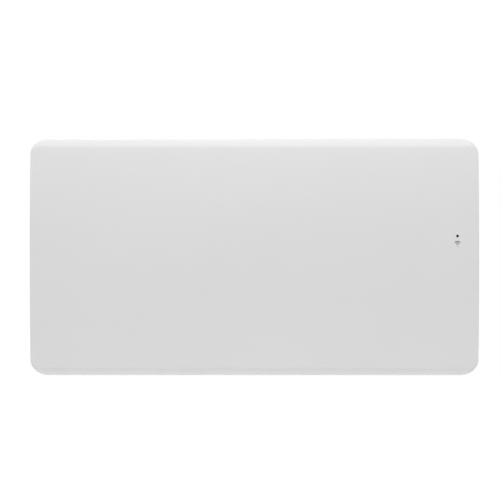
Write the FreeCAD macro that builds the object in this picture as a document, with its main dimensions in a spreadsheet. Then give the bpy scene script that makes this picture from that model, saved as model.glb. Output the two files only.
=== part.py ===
import FreeCAD
import Part
import Sketcher
import os

# Horizontal electric radiator on its wall bracket. Millimetres, Z up, X along the radiator.
# The wall is the plane y = 0 and the front faces -Y, so a distance out from the wall is -y.

doc = FreeCAD.newDocument("electric_radiator")
dims = doc.addObject("Spreadsheet::Sheet", "dims")

driving = {
    # Front panel: one pressed sheet, bowed over its height, rolled above and below, folded at the ends
    "panel_width": 1090,
    "panel_height": 580,
    "panel_depth": 50,
    "panel_corner": 40,
    "panel_bow": 14,
    "panel_roll": 27,
    "panel_fold": 2,
    "panel_sheet": 1.2,
    "lip_width": 15,
    # Rear casing: a pressed pan whose rim is screwed to the back of the lip
    "wall_gap": 25,
    "casing_depth": 55,
    "casing_inset": 16,
    "casing_sheet": 1,
    "casing_bend": 5,
    "rim_reveal": 3,
    "swage_length": 440,
    "swage_width": 14,
    "swage_height": 2.5,
    "swage_pitch": 110,
    # Screws of the casing
    "rim_screw_pitch": 340,
    "screw_radius": 1.75,
    "screw_head_radius": 3.5,
    "screw_head_height": 2.2,
    "screw_length": 7,
    "screw_play": 0.15,
    # Play between parts that fit into one another
    "fit_gap": 0.3,
    "bond_gap": 0.2,
    "snug_gap": 0.05,
    # Outlet grille on the top wall, from near the left end to the control unit
    "grille_margin": 34,
    "grille_control_gap": 22,
    "grille_inset": 7.5,
    "grille_flange": 4,
    "grille_plate": 2,
    "grille_skirt": 10,
    "grille_wall": 2,
    "slat_count": 4,
    "slat_thickness": 1.6,
    "slat_lean": 5,
    "rib_pitch": 70,
    "rib_thickness": 2,
    "snap_pitch": 140,
    "snap_width": 14,
    "snap_height": 4,
    "snap_reach": 0.9,
    # Inlet grille inside the bottom wall
    "inlet_margin": 89,
    "inlet_inset": 11.5,
    "inlet_overlap": 5,
    "inlet_edge": 3,
    "inlet_sheet": 1,
    "inlet_slot_width": 11,
    "inlet_slot_pitch": 20,
    # Heating film behind the front panel
    "film_left": 30,
    "film_right": 120,
    "film_end": 52.5,
    "film_thickness": 0.8,
    "film_bond": 0.4,
    # Heating body: a finned aluminium section round a straight heater rod
    "heater_left": 79,
    "heater_right": 239,
    "heater_drop": 90,
    "heater_reach": 32,
    "blade_height": 96,
    "blade_thickness": 4,
    "hub_radius": 9,
    "fin_reach": 17,
    "fin_rise": 11,
    "fin_thickness": 2,
    "fin_count": 6,
    "fin_pitch": 15,
    "rod_radius": 4.25,
    "rod_play": 0.15,
    "rod_cold_end": 40,
    "rod_pin_radius": 2,
    "rod_pin_length": 12,
    # Supports and bushes of the heating body
    "support_sheet": 1.5,
    "support_gap": 9,
    "support_height": 64,
    "support_foot": 24,
    "support_front": 18,
    "bush_radius": 8,
    "bush_collar_radius": 11,
    "bush_collar": 3,
    # Heat shield between the heating body and the back wall
    "shield_gap": 10,
    "shield_sheet": 0.8,
    "shield_foot": 14,
    "shield_above": 200,
    "shield_below": 80,
    "shield_end_gap": 8,
    # Thermal cutout on the shield
    "cutout_end": 60,
    "cutout_rise": 40,
    "cutout_radius": 8,
    "cutout_depth": 9,
    "cutout_flange": 24,
    # Control unit on the top wall
    "control_width": 116,
    "control_edge": 94,
    "control_drop": 24,
    "control_wall": 2,
    "fascia_thickness": 2,
    "fascia_corner": 4,
    "board_thickness": 1.6,
    "board_stand": 5,
    "stand_radius": 2.5,
    "display_width": 42,
    "display_depth": 24,
    "display_shift": -31,
    "key_radius": 5,
    "key_gap": 0.2,
    "key_proud": 1.2,
    "key_travel": 0.8,
    "key_collar": 1,
    "key_collar_height": 1.5,
    "key_stem_radius": 2,
    "key_pitch": 14,
    "key_shift": 25,
    "switch_size": 6,
    "switch_height": 3.5,
    "plunger_height": 1,
    "plunger_radius": 1.6,
    "fascia_screw_radius": 1,
    "fascia_screw_head": 1.9,
    "fascia_screw_length": 9,
    # Power switch on the right wall
    "rocker_rise": 40,
    "rocker_length": 16.6,
    "rocker_width": 11,
    "rocker_tilt": 10,
    "rocker_sink": 1,
    "rocker_axle_radius": 1.2,
    "rocker_axle_stub": 1,
    "bezel_thickness": 2,
    "bezel_edge": 2,
    "rocker_case_wall": 1.5,
    "rocker_case_depth": 17,
    "rocker_well": 7,
    # Sensor behind the round window of the front panel
    "sensor_edge": 52.6,
    "sensor_rise": 51.2,
    "lens_radius": 3.3,
    "lens_flange": 4.6,
    "lens_flange_thickness": 1,
    "holder_radius": 9,
    "holder_depth": 14,
    "holder_recess": 4,
    "sensor_board_thickness": 1.2,
    # Power box, board and parts on the back wall at the right
    "box_edge": 77,
    "box_rise": 15,
    "box_width": 108,
    "box_height": 150,
    "box_depth": 30,
    "box_wall": 2,
    "box_stand": 6,
    "box_notch": 74,
    "transformer_size": 34,
    "transformer_height": 20,
    "relay_length": 28,
    "relay_width": 12,
    "relay_height": 15,
    "capacitor_radius": 8,
    "capacitor_height": 18,
    "connector_length": 16,
    "connector_width": 10,
    "connector_height": 9,
    "lead_row": 66,
    "lead_pitch": 14,
    "lead_radius": 1.6,
    "lead_bend": 10,
    "ribbon_width": 14,
    "ribbon_thickness": 1.2,
    # Terminal block, gland and room probe on the back wall at the lower right
    "terminal_rise": 131.5,
    "terminal_width": 58,
    "terminal_height": 20,
    "terminal_depth": 24,
    "gland_rise": 66.5,
    "gland_radius": 8,
    "gland_bore": 4,
    "gland_flange": 12,
    "gland_flange_thickness": 3,
    "gland_nut_size": 12.5,
    "gland_nut_thickness": 5,
    "probe_edge": 38,
    "probe_radius": 3,
    "probe_length": 30,
    "probe_reach": 14,
    "probe_floor_gap": 3,
    "clip_width": 12,
    "clip_height": 10,
    # Wall bracket
    "bracket_sheet": 2.5,
    "fixing_width": 600,
    "fixing_height": 380,
    "fixing_radius": 3.5,
    "upright_width": 40,
    "upright_drop": 46.5,
    "upright_bend": 2,
    "flange_gap": 7,
    "tongue_width": 16,
    "tongue_length": 30,
    "shelf_width": 26,
    "shelf_gap": 3,
    "rail_sheet": 1.5,
    "rail_height": 30,
    "rail_rise": 150,
    "rivet_radius": 2,
    "rivet_head_radius": 4,
    "rivet_head_height": 1.4,
    "rivet_pitch": 20,
    # Hanging gear between the bracket and the casing
    "pivot_rise": 16.5,
    "pin_radius": 3.5,
    "pin_play": 0.2,
    "ear_sheet": 2,
    "ear_gap": 0.6,
    "ear_edge": 2.2,
    "stirrup_height": 34,
    "stirrup_width": 44,
    "spindle_out": 13,
    "spindle_radius": 3,
    "lock_head_radius": 5,
    "lock_head_height": 4,
    "lock_slot_width": 1.4,
    "lock_slot_depth": 1.6,
    "cam_height": 3,
    "cam_gap": 2.5,
    "cam_width": 5,
    "catch_sheet": 2,
    "catch_width": 10,
    "catch_side": 6.5,
    "catch_drop": 12,
    "catch_height": 34,
    "catch_gap": 1,
    "bumper_radius": 9,
    "bumper_tip_radius": 7,
    "bumper_spread": 150,
}

for row, (alias, size) in enumerate(driving.items(), 1):
    dims.set(f"A{row}", alias)
    dims.set(f"B{row}", str(size))
    dims.setAlias(f"B{row}", alias)
doc.recompute()

nodes = []
overcut = "1"


def number(text):
    return float(dims.evalExpression(text))


def bind(item, **sizes):
    for name, text in sizes.items():
        item.setExpression(name.replace("__", "."), text)
    return item


def node(item, label):
    item.Label = label
    nodes.append(item)
    return item


# Sketches: every corner, centre and radius is tied to an expression of the sheet

planes = {"front": "XZ_Plane", "side": "YZ_Plane", "top": "XY_Plane"}


def new_body(name):
    return doc.addObject("PartDesign::Body", name)


def sketch_in(body, plane, offset="0", shift=("0", "0")):
    sketch = body.newObject("Sketcher::SketchObject", body.Name + "_sketch")
    origin = [item for item in body.Origin.OriginFeatures if item.Role == planes[plane]][0]
    sketch.AttachmentSupport = (origin, [""])
    sketch.MapMode = "FlatFace"
    bind(sketch, AttachmentOffset__Base__x=shift[0], AttachmentOffset__Base__y=shift[1])
    bind(sketch, AttachmentOffset__Base__z=offset)
    return sketch


def tie(sketch, kind, what, text):
    index = sketch.addConstraint(Sketcher.Constraint(kind, *what, number(text)))
    sketch.setExpression(f"Constraints[{index}]", text)


def pin_point(sketch, geometry, point, x, y):
    tie(sketch, "DistanceX", (-1, 1, geometry, point), x)
    tie(sketch, "DistanceY", (-1, 1, geometry, point), y)


def outline(sketch, corners):
    places = [FreeCAD.Vector(number(x), number(y), 0) for x, y in corners]
    first = sketch.GeometryCount
    for here, there in zip(places, places[1:] + places[:1]):
        sketch.addGeometry(Part.LineSegment(here, there), False)
    for i in range(len(corners)):
        following = first + (i + 1) % len(corners)
        sketch.addConstraint(Sketcher.Constraint("Coincident", first + i, 2, following, 1))
    for i, (x, y) in enumerate(corners):
        pin_point(sketch, first + i, 1, x, y)


def rectangle(sketch, left, low, right, high):
    outline(sketch, [(left, low), (right, low), (right, high), (left, high)])


def centred(sketch, x, y, width, height):
    left = f"{x} - ({width}) / 2"
    right = f"{x} + ({width}) / 2"
    rectangle(sketch, left, f"{y} - ({height}) / 2", right, f"{y} + ({height}) / 2")


def circle(sketch, x, y, radius):
    centre = FreeCAD.Vector(number(x), number(y), 0)
    round_line = Part.Circle(centre, FreeCAD.Vector(0, 0, 1), number(radius))
    index = sketch.addGeometry(round_line, False)
    pin_point(sketch, index, 3, x, y)
    tie(sketch, "Radius", (index,), radius)


def rounded(sketch, x, y, half_wide, half_high, corner):
    cx, cy, w, h, r = [number(text) for text in (x, y, half_wide, half_high, corner)]
    first = sketch.GeometryCount
    quarter = 1.5707963267948966
    turns = [(1, 1, 0), (-1, 1, 1), (-1, -1, 2), (1, -1, 3)]
    for along, up, turn in turns:
        centre = FreeCAD.Vector(cx + along * (w - r), cy + up * (h - r), 0)
        round_line = Part.Circle(centre, FreeCAD.Vector(0, 0, 1), r)
        sketch.addGeometry(Part.ArcOfCircle(round_line, turn * quarter, (turn + 1) * quarter), False)
    for i in range(4):
        start = sketch.Geometry[first + i].EndPoint
        stop = sketch.Geometry[first + (i + 1) % 4].StartPoint
        sketch.addGeometry(Part.LineSegment(start, stop), False)
        sketch.addConstraint(Sketcher.Constraint("Tangent", first + i, 2, first + 4 + i, 1))
        sketch.addConstraint(Sketcher.Constraint("Tangent", first + 4 + i, 2, first + (i + 1) % 4, 1))
    for i in range(3):
        sketch.addConstraint(Sketcher.Constraint("Equal", first, first + i + 1))
    pin_point(sketch, first, 3, f"{x} + {half_wide} - ({corner})", f"{y} + {half_high} - ({corner})")
    pin_point(sketch, first + 2, 3, f"{x} - ({half_wide} - ({corner}))", f"{y} - ({half_high} - ({corner}))")
    tie(sketch, "Radius", (first,), corner)


def grow(body, kind, sketch, length, reverse=False):
    feature = body.newObject("PartDesign::" + kind, body.Name + "_" + kind.lower())
    feature.Profile = sketch
    feature.Reversed = reverse
    return bind(feature, Length=length)


def pad(body, sketch, length, reverse=False):
    return grow(body, "Pad", sketch, length, reverse)


def pocket(body, sketch, length, reverse=False):
    return grow(body, "Pocket", sketch, length, reverse)


def revolve(body, sketch):
    feature = body.newObject("PartDesign::Revolution", body.Name + "_revolution")
    feature.Profile = sketch
    feature.ReferenceAxis = (sketch, ["V_Axis"])
    feature.Angle = 360
    return feature


def row_of(body, feature, sketch, axis, spacing, count):
    pattern = body.newObject("PartDesign::LinearPattern", body.Name + "_row")
    pattern.Originals = [feature]
    pattern.Direction = (sketch, [axis])
    pattern.Mode = "Spacing"
    bind(pattern, Offset=spacing, Occurrences=count)
    body.Tip = pattern
    return pattern


near = 0.01


def lies_at(out):
    level = -number(out)
    return lambda edge: max(abs(edge.BoundBox.YMin - level), abs(edge.BoundBox.YMax - level)) < near


def stands_at(x, out):
    place = FreeCAD.Vector(number(x), -number(out), 0)

    def chosen(edge):
        ends = [FreeCAD.Vector(vertex.X, vertex.Y, 0) for vertex in edge.Vertexes]
        return len(ends) == 2 and all(end.distanceToPoint(place) < near for end in ends)

    return chosen


def fillet(body, feature, chosen, radius):
    doc.recompute()
    edges = feature.Shape.Edges
    names = [f"Edge{i}" for i, edge in enumerate(edges, 1) if chosen(edge)]
    soft = body.newObject("PartDesign::Fillet", body.Name + "_fillet")
    soft.Base = (feature, names)
    return bind(soft, Radius=radius)


# Plain solids and booleans

turned = {
    "x": FreeCAD.Rotation(FreeCAD.Vector(0, 1, 0), 90),
    "y": FreeCAD.Rotation(FreeCAD.Vector(1, 0, 0), 90),
    "z": FreeCAD.Rotation(),
}


def block(name, low, high):
    item = doc.addObject("Part::Box", name)
    sizes = [f"({top}) - ({bottom})" for bottom, top in zip(low, high)]
    bind(item, Length=sizes[0], Width=sizes[1], Height=sizes[2])
    return place(item, low)


def place(item, spot):
    return bind(item, Placement__Base__x=spot[0], Placement__Base__y=spot[1], Placement__Base__z=spot[2])


def post(name, along, spot, radius, length):
    # A "y" post runs out from the wall, toward the front
    item = doc.addObject("Part::Cylinder", name)
    item.Placement.Rotation = turned[along]
    bind(item, Radius=radius, Height=length)
    return place(item, spot)


def fuse(name, pieces):
    item = doc.addObject("Part::MultiFuse", name)
    item.Shapes = pieces
    return item


def cut(name, base, tool):
    item = doc.addObject("Part::Cut", name)
    item.Base = base
    item.Tool = tool
    return item


def group(name, pieces):
    item = doc.addObject("Part::Compound", name)
    item.Links = pieces
    return item


def y(out):
    return f"-({out})"


# Places worked out from the sheet

half_width = "dims.panel_width / 2"
half_height = "dims.panel_height / 2"
wall_x = f"({half_width} - dims.casing_inset)"
wall_z = f"({half_height} - dims.casing_inset)"
casing_corner = "(dims.panel_corner - dims.casing_inset)"
back_out = "dims.wall_gap"
floor_out = "(dims.wall_gap + dims.casing_sheet)"
rim_out = "(dims.wall_gap + dims.casing_depth)"
middle_out = "(dims.wall_gap + dims.casing_depth / 2)"
front_out = f"({rim_out} + dims.panel_depth)"
bow_radius = f"((({half_height}) ^ 2 + dims.panel_bow ^ 2) / (2 * dims.panel_bow))"
bow_axis = f"({front_out} - {bow_radius})"
rim_line = "(dims.rim_reveal + dims.lip_width) / 2"
hole_radius = "(dims.screw_radius + dims.screw_play)"


def skin_out(inset, height):
    # How far out the bowed sheet lies at a height above the middle, inset from its painted face
    return f"({bow_axis} + sqrt(({bow_radius} - ({inset})) ^ 2 - ({height}) ^ 2))"


rim_places = []
for side in (-1, 1):
    for step in (-1, 0, 1):
        rim_places.append((f"{step} * dims.rim_screw_pitch", f"{side} * ({half_height} - {rim_line})"))
    rim_places.append((f"{side} * ({half_width} - {rim_line})", "0"))


# Front panel

def bowed_block(name, inset):
    body = new_body(name)
    start = f"{rim_out} + ({inset})"
    sketch = sketch_in(body, "side", f"-({half_width} - ({inset}))")
    high = f"({half_height} - ({inset}))"
    edge = f"({skin_out(inset, high)})"
    back = FreeCAD.Vector(-number(start), number(high), 0)
    brow = FreeCAD.Vector(-number(edge), number(high), 0)
    nose = FreeCAD.Vector(-number(skin_out(inset, "0")), 0, 0)
    down = FreeCAD.Vector(1, 0, 0)
    sill = FreeCAD.Vector(brow.x, -brow.y, 0)
    heel = FreeCAD.Vector(back.x, -back.y, 0)
    sketch.addGeometry(Part.LineSegment(back, brow), False)
    sketch.addGeometry(Part.Arc(brow, nose, sill), False)
    sketch.addGeometry(Part.LineSegment(sill, heel), False)
    sketch.addGeometry(Part.LineSegment(heel, back), False)
    arc = sketch.Geometry[1]
    begins = 1 if arc.StartPoint.distanceToPoint(brow) < 0.001 else 2
    sketch.addConstraint(Sketcher.Constraint("Coincident", 0, 2, 1, begins))
    sketch.addConstraint(Sketcher.Constraint("Coincident", 1, 3 - begins, 2, 1))
    sketch.addConstraint(Sketcher.Constraint("Coincident", 2, 2, 3, 1))
    sketch.addConstraint(Sketcher.Constraint("Coincident", 3, 2, 0, 1))
    sketch.addConstraint(Sketcher.Constraint("Horizontal", 0))
    sketch.addConstraint(Sketcher.Constraint("Horizontal", 2))
    pin_point(sketch, 3, 2, y(start), high)
    pin_point(sketch, 3, 1, y(start), f"-{high}")
    pin_point(sketch, 1, 3, y(bow_axis), "0")
    tie(sketch, "Radius", (1,), f"{bow_radius} - ({inset})")
    tray = pad(body, sketch, f"2 * ({half_width} - ({inset}))")
    doc.recompute()
    broad = number(bow_radius) / 2
    faces = [face for face in tray.Shape.Faces if getattr(face.Surface, "Radius", 0) > broad]

    def brow_edge(edge):
        along = abs(edge.tangentAt(edge.FirstParameter).x) > 0.999
        return along and any(edge.isSame(other) for face in faces for other in face.Edges)

    rolled = fillet(body, tray, brow_edge, f"dims.panel_roll - ({inset})")
    end_x = number(f"{half_width} - ({inset})")

    def end_fold(edge):
        box = edge.BoundBox
        at_end = abs(abs(box.Center.x) - end_x) < near and box.XLength < near
        return at_end and min(box.YLength, box.ZLength) > near

    fillet(body, rolled, end_fold, f"dims.panel_fold - ({inset})")
    sketch = sketch_in(body, "front", rim_out)
    centred(sketch, "0", "0", "2 * dims.panel_width", "2 * dims.panel_height")
    corner = f"(dims.panel_corner - ({inset}))"
    rounded(sketch, "0", "0", f"({half_width} - ({inset}))", f"({half_height} - ({inset}))", corner)
    pocket(body, sketch, "2 * dims.panel_depth", True)
    return body


panel_block = bowed_block("panel_block", "0")
panel_cavity = bowed_block("panel_cavity", "dims.panel_sheet")

lip_opening = new_body("lip_opening")
sketch = sketch_in(lip_opening, "front", f"{rim_out} - {overcut}")
lip_corner = "(dims.panel_corner - dims.lip_width)"
rounded(sketch, "0", "0", f"({half_width} - dims.lip_width)", f"({half_height} - dims.lip_width)", lip_corner)
pad(lip_opening, sketch, f"dims.panel_sheet + 2 * {overcut}")

sensor_x = f"({half_width} - dims.sensor_edge)"
sensor_z = "dims.sensor_rise"
sensor_hole_spot = (sensor_x, y(f"{rim_out} + dims.panel_depth / 2"), sensor_z)
panel_openings = [
    panel_cavity,
    lip_opening,
    post("sensor_hole", "y", sensor_hole_spot, "dims.lens_radius + dims.screw_play", "dims.panel_depth"),
]
for x, z in rim_places:
    spot = (x, y(f"{rim_out} - {overcut}"), z)
    panel_openings.append(post("lip_hole", "y", spot, hole_radius, f"dims.panel_sheet + 2 * {overcut}"))
front_panel = node(cut("front_panel", panel_block, fuse("panel_openings", panel_openings)), "front_panel")

# Heating film: follows the bow behind the panel

film_start = f"(-{half_width} + dims.film_left)"
film_stop = f"({half_width} - dims.film_right)"
film_rise = f"({half_height} - dims.film_end)"
film_low = (film_start, y(front_out), f"-{film_rise}")
film_high = (film_stop, y(rim_out), film_rise)
film_block = block("film_block", film_low, film_high)
film_face = "(dims.panel_sheet + dims.film_bond)"
film_back = f"({film_face} + dims.film_thickness)"
film_axis = (f"-{half_width}", y(bow_axis), "0")
outer_roll = post("film_outer_roll", "x", film_axis, f"{bow_radius} - {film_face}", "dims.panel_width")
inner_roll = post("film_inner_roll", "x", film_axis, f"{bow_radius} - {film_back}", "dims.panel_width")
film_front = doc.addObject("Part::Common", "film_front")
film_front.Base = film_block
film_front.Tool = outer_roll
node(cut("front_heating_film", film_front, inner_roll), "front_heating_film")

# Heating body: hub and blade with leaning fins on both sides, pushed along X

heater_out = f"({floor_out} + dims.heater_reach)"
heater_y = y(heater_out)
heater_z = "(-dims.heater_drop)"
heater_start = f"(-{wall_x} + dims.heater_left)"
heater_end = f"({wall_x} - dims.heater_right)"
heater_length = f"({heater_end} - {heater_start})"
heater_half = f"({heater_length} / 2)"
heater_middle = f"(({heater_start} + {heater_end}) / 2)"

heating_body = new_body("heating_body")
sketch = sketch_in(heating_body, "side", heater_start)
centred(sketch, heater_y, heater_z, "dims.blade_thickness", "dims.blade_height")
pad(heating_body, sketch, heater_length)
sketch = sketch_in(heating_body, "side", heater_start)
circle(sketch, heater_y, heater_z, "dims.hub_radius")
pad(heating_body, sketch, heater_length)
fin_sketch = sketch_in(heating_body, "side", heater_start)
fin_root = f"({heater_z} - dims.blade_height / 2 + dims.fin_thickness)"
for side in ("-", "+"):
    tip = f"{heater_y} {side} dims.fin_reach"
    fin_corners = [
        (heater_y, fin_root),
        (tip, f"{fin_root} + dims.fin_rise"),
        (tip, f"{fin_root} + dims.fin_rise + dims.fin_thickness"),
        (heater_y, f"{fin_root} + dims.fin_thickness"),
    ]
    outline(fin_sketch, fin_corners)
fins = pad(heating_body, fin_sketch, heater_length)
row_of(heating_body, fins, fin_sketch, "V_Axis", "dims.fin_pitch", "dims.fin_count")
sketch = sketch_in(heating_body, "side", heater_start)
circle(sketch, heater_y, heater_z, "dims.rod_radius + dims.rod_play")
pocket(heating_body, sketch, heater_length, True)
node(heating_body, "heating_body")

# Heater rod with cold ends and terminal pins

rod_half = f"({heater_half} + dims.rod_cold_end)"
pin_half = f"({rod_half} + dims.rod_pin_length)"
heater_rod = new_body("heater_rod")
rod_spot = (heater_middle, heater_y, heater_z)
heater_rod.Placement.Rotation = FreeCAD.Rotation(FreeCAD.Vector(0, 1, 0), 90)
place(heater_rod, rod_spot)
sketch = sketch_in(heater_rod, "front")
rod_outline = [
    ("0", f"-{pin_half}"),
    ("dims.rod_pin_radius", f"-{pin_half}"),
    ("dims.rod_pin_radius", f"-{rod_half}"),
    ("dims.rod_radius", f"-{rod_half}"),
    ("dims.rod_radius", rod_half),
    ("dims.rod_pin_radius", rod_half),
    ("dims.rod_pin_radius", pin_half),
    ("0", pin_half),
]
outline(sketch, rod_outline)
revolve(heater_rod, sketch)
node(heater_rod, "heater_rod")

# Heater supports: a foot on the back wall and an upright plate holding the bush

support_low = f"({heater_z} - dims.support_height / 2)"
support_high = f"({heater_z} + dims.support_height / 2)"
support_places = []


def heater_support(label, side):
    body = new_body(label)
    face = f"({heater_middle} + {side} * ({heater_half} + dims.support_gap))"
    far = f"({face} + {side} * dims.support_sheet)"
    toe = f"({face} + {side} * dims.support_foot)"
    left, right = (far, face) if side < 0 else (face, far)
    sketch = sketch_in(body, "side", left)
    front = y(f"{heater_out} + dims.support_front")
    rectangle(sketch, front, support_low, y(floor_out), support_high)
    plate = pad(body, sketch, "dims.support_sheet")
    foot_left, foot_right = (toe, face) if side < 0 else (face, toe)
    sketch = sketch_in(body, "front", floor_out)
    rectangle(sketch, foot_left, support_low, foot_right, support_high)
    pad(body, sketch, "dims.support_sheet")
    sketch = sketch_in(body, "side", f"{left} - {overcut}")
    circle(sketch, heater_y, heater_z, "dims.bush_radius + dims.rod_play")
    pocket(body, sketch, f"dims.support_sheet + 2 * {overcut}", True)
    sketch = sketch_in(body, "front", floor_out)
    hole_x = f"({face} + {side} * (dims.support_foot + dims.support_sheet) / 2)"
    for end in (-1, 1):
        hole_z = f"({heater_z} + {end} * dims.support_height / 3)"
        circle(sketch, hole_x, hole_z, hole_radius)
        support_places.append((hole_x, hole_z))
    pocket(body, sketch, "dims.support_sheet", True)
    return node(body, label)


heater_support("heater_support_left", -1)
heater_support("heater_support_right", 1)

# Heater bushes: ceramic rings with a collar on the inner side of each support


def heater_bush(name, side):
    body = new_body(name)
    body.Placement.Rotation = FreeCAD.Rotation(FreeCAD.Vector(0, 1, 0), 90)
    place(body, rod_spot)
    sketch = sketch_in(body, "front")
    seat = f"({heater_half} + dims.support_gap)"
    inner = f"{side} * ({seat} - dims.bush_collar)"
    outer = f"{side} * ({seat} + dims.support_sheet + dims.bush_collar)"
    bore = "dims.rod_radius + dims.rod_play"
    ring = [
        (bore, inner),
        ("dims.bush_collar_radius", inner),
        ("dims.bush_collar_radius", f"{side} * {seat}"),
        ("dims.bush_radius", f"{side} * {seat}"),
        ("dims.bush_radius", outer),
        (bore, outer),
    ]
    outline(sketch, ring)
    revolve(body, sketch)
    return body


node(group("heater_bushes", [heater_bush("bush_left", -1), heater_bush("bush_right", 1)]), "heater_bushes")

# Heat shield: a hat section standing on the back wall between the supports

shield_out = f"({floor_out} + dims.shield_gap)"
shield_face = f"({shield_out} + dims.shield_sheet)"
shield_low = f"({heater_z} - dims.shield_below)"
shield_high = f"({heater_z} + dims.shield_above)"
shield_half = f"({heater_half} + dims.support_gap - dims.shield_end_gap)"
heat_shield = new_body("heat_shield")
sketch = sketch_in(heat_shield, "side", f"{heater_middle} - {shield_half}")
sole = f"({floor_out} + dims.shield_sheet)"
hat = [
    (y(floor_out), f"{shield_low} - dims.shield_foot"),
    (y(sole), f"{shield_low} - dims.shield_foot"),
    (y(sole), shield_low),
    (y(shield_face), shield_low),
    (y(shield_face), shield_high),
    (y(sole), shield_high),
    (y(sole), f"{shield_high} + dims.shield_foot"),
    (y(floor_out), f"{shield_high} + dims.shield_foot"),
    (y(floor_out), f"{shield_high} - dims.shield_sheet"),
    (y(shield_out), f"{shield_high} - dims.shield_sheet"),
    (y(shield_out), f"{shield_low} + dims.shield_sheet"),
    (y(floor_out), f"{shield_low} + dims.shield_sheet"),
]
outline(sketch, hat)
pad(heat_shield, sketch, f"2 * {shield_half}")
shield_places = []
sketch = sketch_in(heat_shield, "front", floor_out)
for side in (-1, 1):
    hole_x = f"({heater_middle} + {side} * {heater_length} / 3)"
    for hole_z in (f"({shield_low} - dims.shield_foot / 2)", f"({shield_high} + dims.shield_foot / 2)"):
        circle(sketch, hole_x, hole_z, hole_radius)
        shield_places.append((hole_x, hole_z))
pocket(heat_shield, sketch, "dims.shield_sheet", True)
node(heat_shield, "heat_shield")

# Thermal cutout: a flanged disc with two blade terminals on the shield

cutout_x = f"({heater_end} - dims.cutout_end)"
cutout_z = "dims.cutout_rise"
cutout = new_body("thermal_cutout")
sketch = sketch_in(cutout, "front", shield_face)
centred(sketch, cutout_x, cutout_z, "dims.cutout_flange", "dims.cutout_radius * 1.4")
pad(cutout, sketch, "dims.support_sheet")
sketch = sketch_in(cutout, "front", shield_face)
circle(sketch, cutout_x, cutout_z, "dims.cutout_radius")
pad(cutout, sketch, "dims.cutout_depth")
sketch = sketch_in(cutout, "front", f"{shield_face} + dims.cutout_depth")
for side in (-1, 1):
    blade_x = f"({cutout_x} + {side} * dims.cutout_radius / 2)"
    centred(sketch, blade_x, cutout_z, "dims.shield_sheet", "dims.cutout_radius * 0.8")
pad(cutout, sketch, "dims.cutout_radius")
node(cutout, "thermal_cutout")

# Power box, its board and the parts on the board

box_x = f"({wall_x} - dims.box_edge)"
box_z = "dims.box_rise"
box_low = f"({box_z} - dims.box_height / 2)"
box_high = f"({box_z} + dims.box_height / 2)"
board_out = f"({floor_out} + dims.box_wall + dims.box_stand)"
board_face = f"({board_out} + dims.board_thickness)"
board_half_width = "(dims.box_width / 2 - dims.box_wall - dims.fit_gap)"
board_half_height = "(dims.box_height / 2 - dims.box_wall - dims.fit_gap)"
stand_places = []
for side in (-1, 1):
    for end in (-1, 1):
        stand_x = f"({box_x} + {side} * ({board_half_width} - 2 * dims.stand_radius))"
        stand_places.append((stand_x, f"({box_z} + {end} * ({board_half_height} - 2 * dims.stand_radius))"))

power_box = new_body("power_box")
sketch = sketch_in(power_box, "front", floor_out)
centred(sketch, box_x, box_z, "dims.box_width", "dims.box_height")
pad(power_box, sketch, "dims.box_depth")
sketch = sketch_in(power_box, "front", f"{floor_out} + dims.box_wall")
inner_width = "dims.box_width - 2 * dims.box_wall"
centred(sketch, box_x, box_z, inner_width, "dims.box_height - 2 * dims.box_wall")
pocket(power_box, sketch, "dims.box_depth", True)
sketch = sketch_in(power_box, "front", f"{floor_out} + dims.box_wall")
for x, z in stand_places:
    circle(sketch, x, z, "dims.stand_radius")
pad(power_box, sketch, "dims.box_stand")
sketch = sketch_in(power_box, "front", board_out)
centred(sketch, box_x, box_z, "dims.box_notch", f"dims.box_height + 2 * {overcut}")
pocket(power_box, sketch, "dims.box_depth", True)
box_places = [(box_x, f"({box_z} + {end} * dims.box_height / 3)") for end in (-1, 1)]
sketch = sketch_in(power_box, "front", floor_out)
for x, z in box_places:
    circle(sketch, x, z, hole_radius)
pocket(power_box, sketch, "dims.box_wall", True)
node(power_box, "power_box")

power_board = new_body("power_board")
sketch = sketch_in(power_board, "front", board_out)
centred(sketch, box_x, box_z, f"2 * {board_half_width}", f"2 * {board_half_height}")
pad(power_board, sketch, "dims.board_thickness")
node(power_board, "power_board")


def on_board(name, x, z, width, height, rise):
    low = (f"{x} - ({width}) / 2", y(f"{board_face} + {rise}"), f"{z} - ({height}) / 2")
    high = (f"{x} + ({width}) / 2", y(board_face), f"{z} + ({height}) / 2")
    return block(name, low, high)


row_z = f"({box_low} + dims.box_wall + dims.connector_width)"
film_lead_x = f"({box_x} - {board_half_width} + dims.connector_width)"
film_lead_z = f"({box_z} - dims.connector_length)"
ribbon_z = f"({box_high} - dims.box_wall - dims.connector_width)"
relay_x = f"({box_x} - {board_half_width} / 4)"
relay_z = f"({box_z} - dims.relay_width)"
capacitor_spot = (f"{box_x} + {board_half_width} / 2", y(board_face), f"{box_z} - dims.capacitor_radius")
transformer_x = f"({box_x} - {board_half_width} / 3)"
transformer_z = f"({box_z} + dims.transformer_size)"
connector = ("dims.connector_length", "dims.connector_width", "dims.connector_height")
upright_connector = ("dims.connector_width", "dims.connector_length", "dims.connector_height")
relay = ("dims.relay_length", "dims.relay_width", "dims.relay_height")
power_parts = [
    on_board("lead_connector", box_x, row_z, "dims.lead_row", "dims.connector_width", "dims.connector_height"),
    on_board("film_connector", film_lead_x, film_lead_z, *upright_connector),
    on_board("sensor_connector", sensor_x, sensor_z, *upright_connector),
    on_board("ribbon_connector", box_x, ribbon_z, *connector),
    on_board("first_relay", relay_x, relay_z, *relay),
    on_board("second_relay", relay_x, f"({relay_z} - 1.5 * dims.relay_width)", *relay),
    on_board("transformer", transformer_x, transformer_z, "dims.transformer_size", "dims.transformer_size",
             "dims.transformer_height"),
    post("capacitor", "y", capacitor_spot, "dims.capacitor_radius", "dims.capacitor_height"),
]
node(group("power_components", power_parts), "power_components")

# Terminal block below the power box, with a clamp hole for each lead

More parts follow.
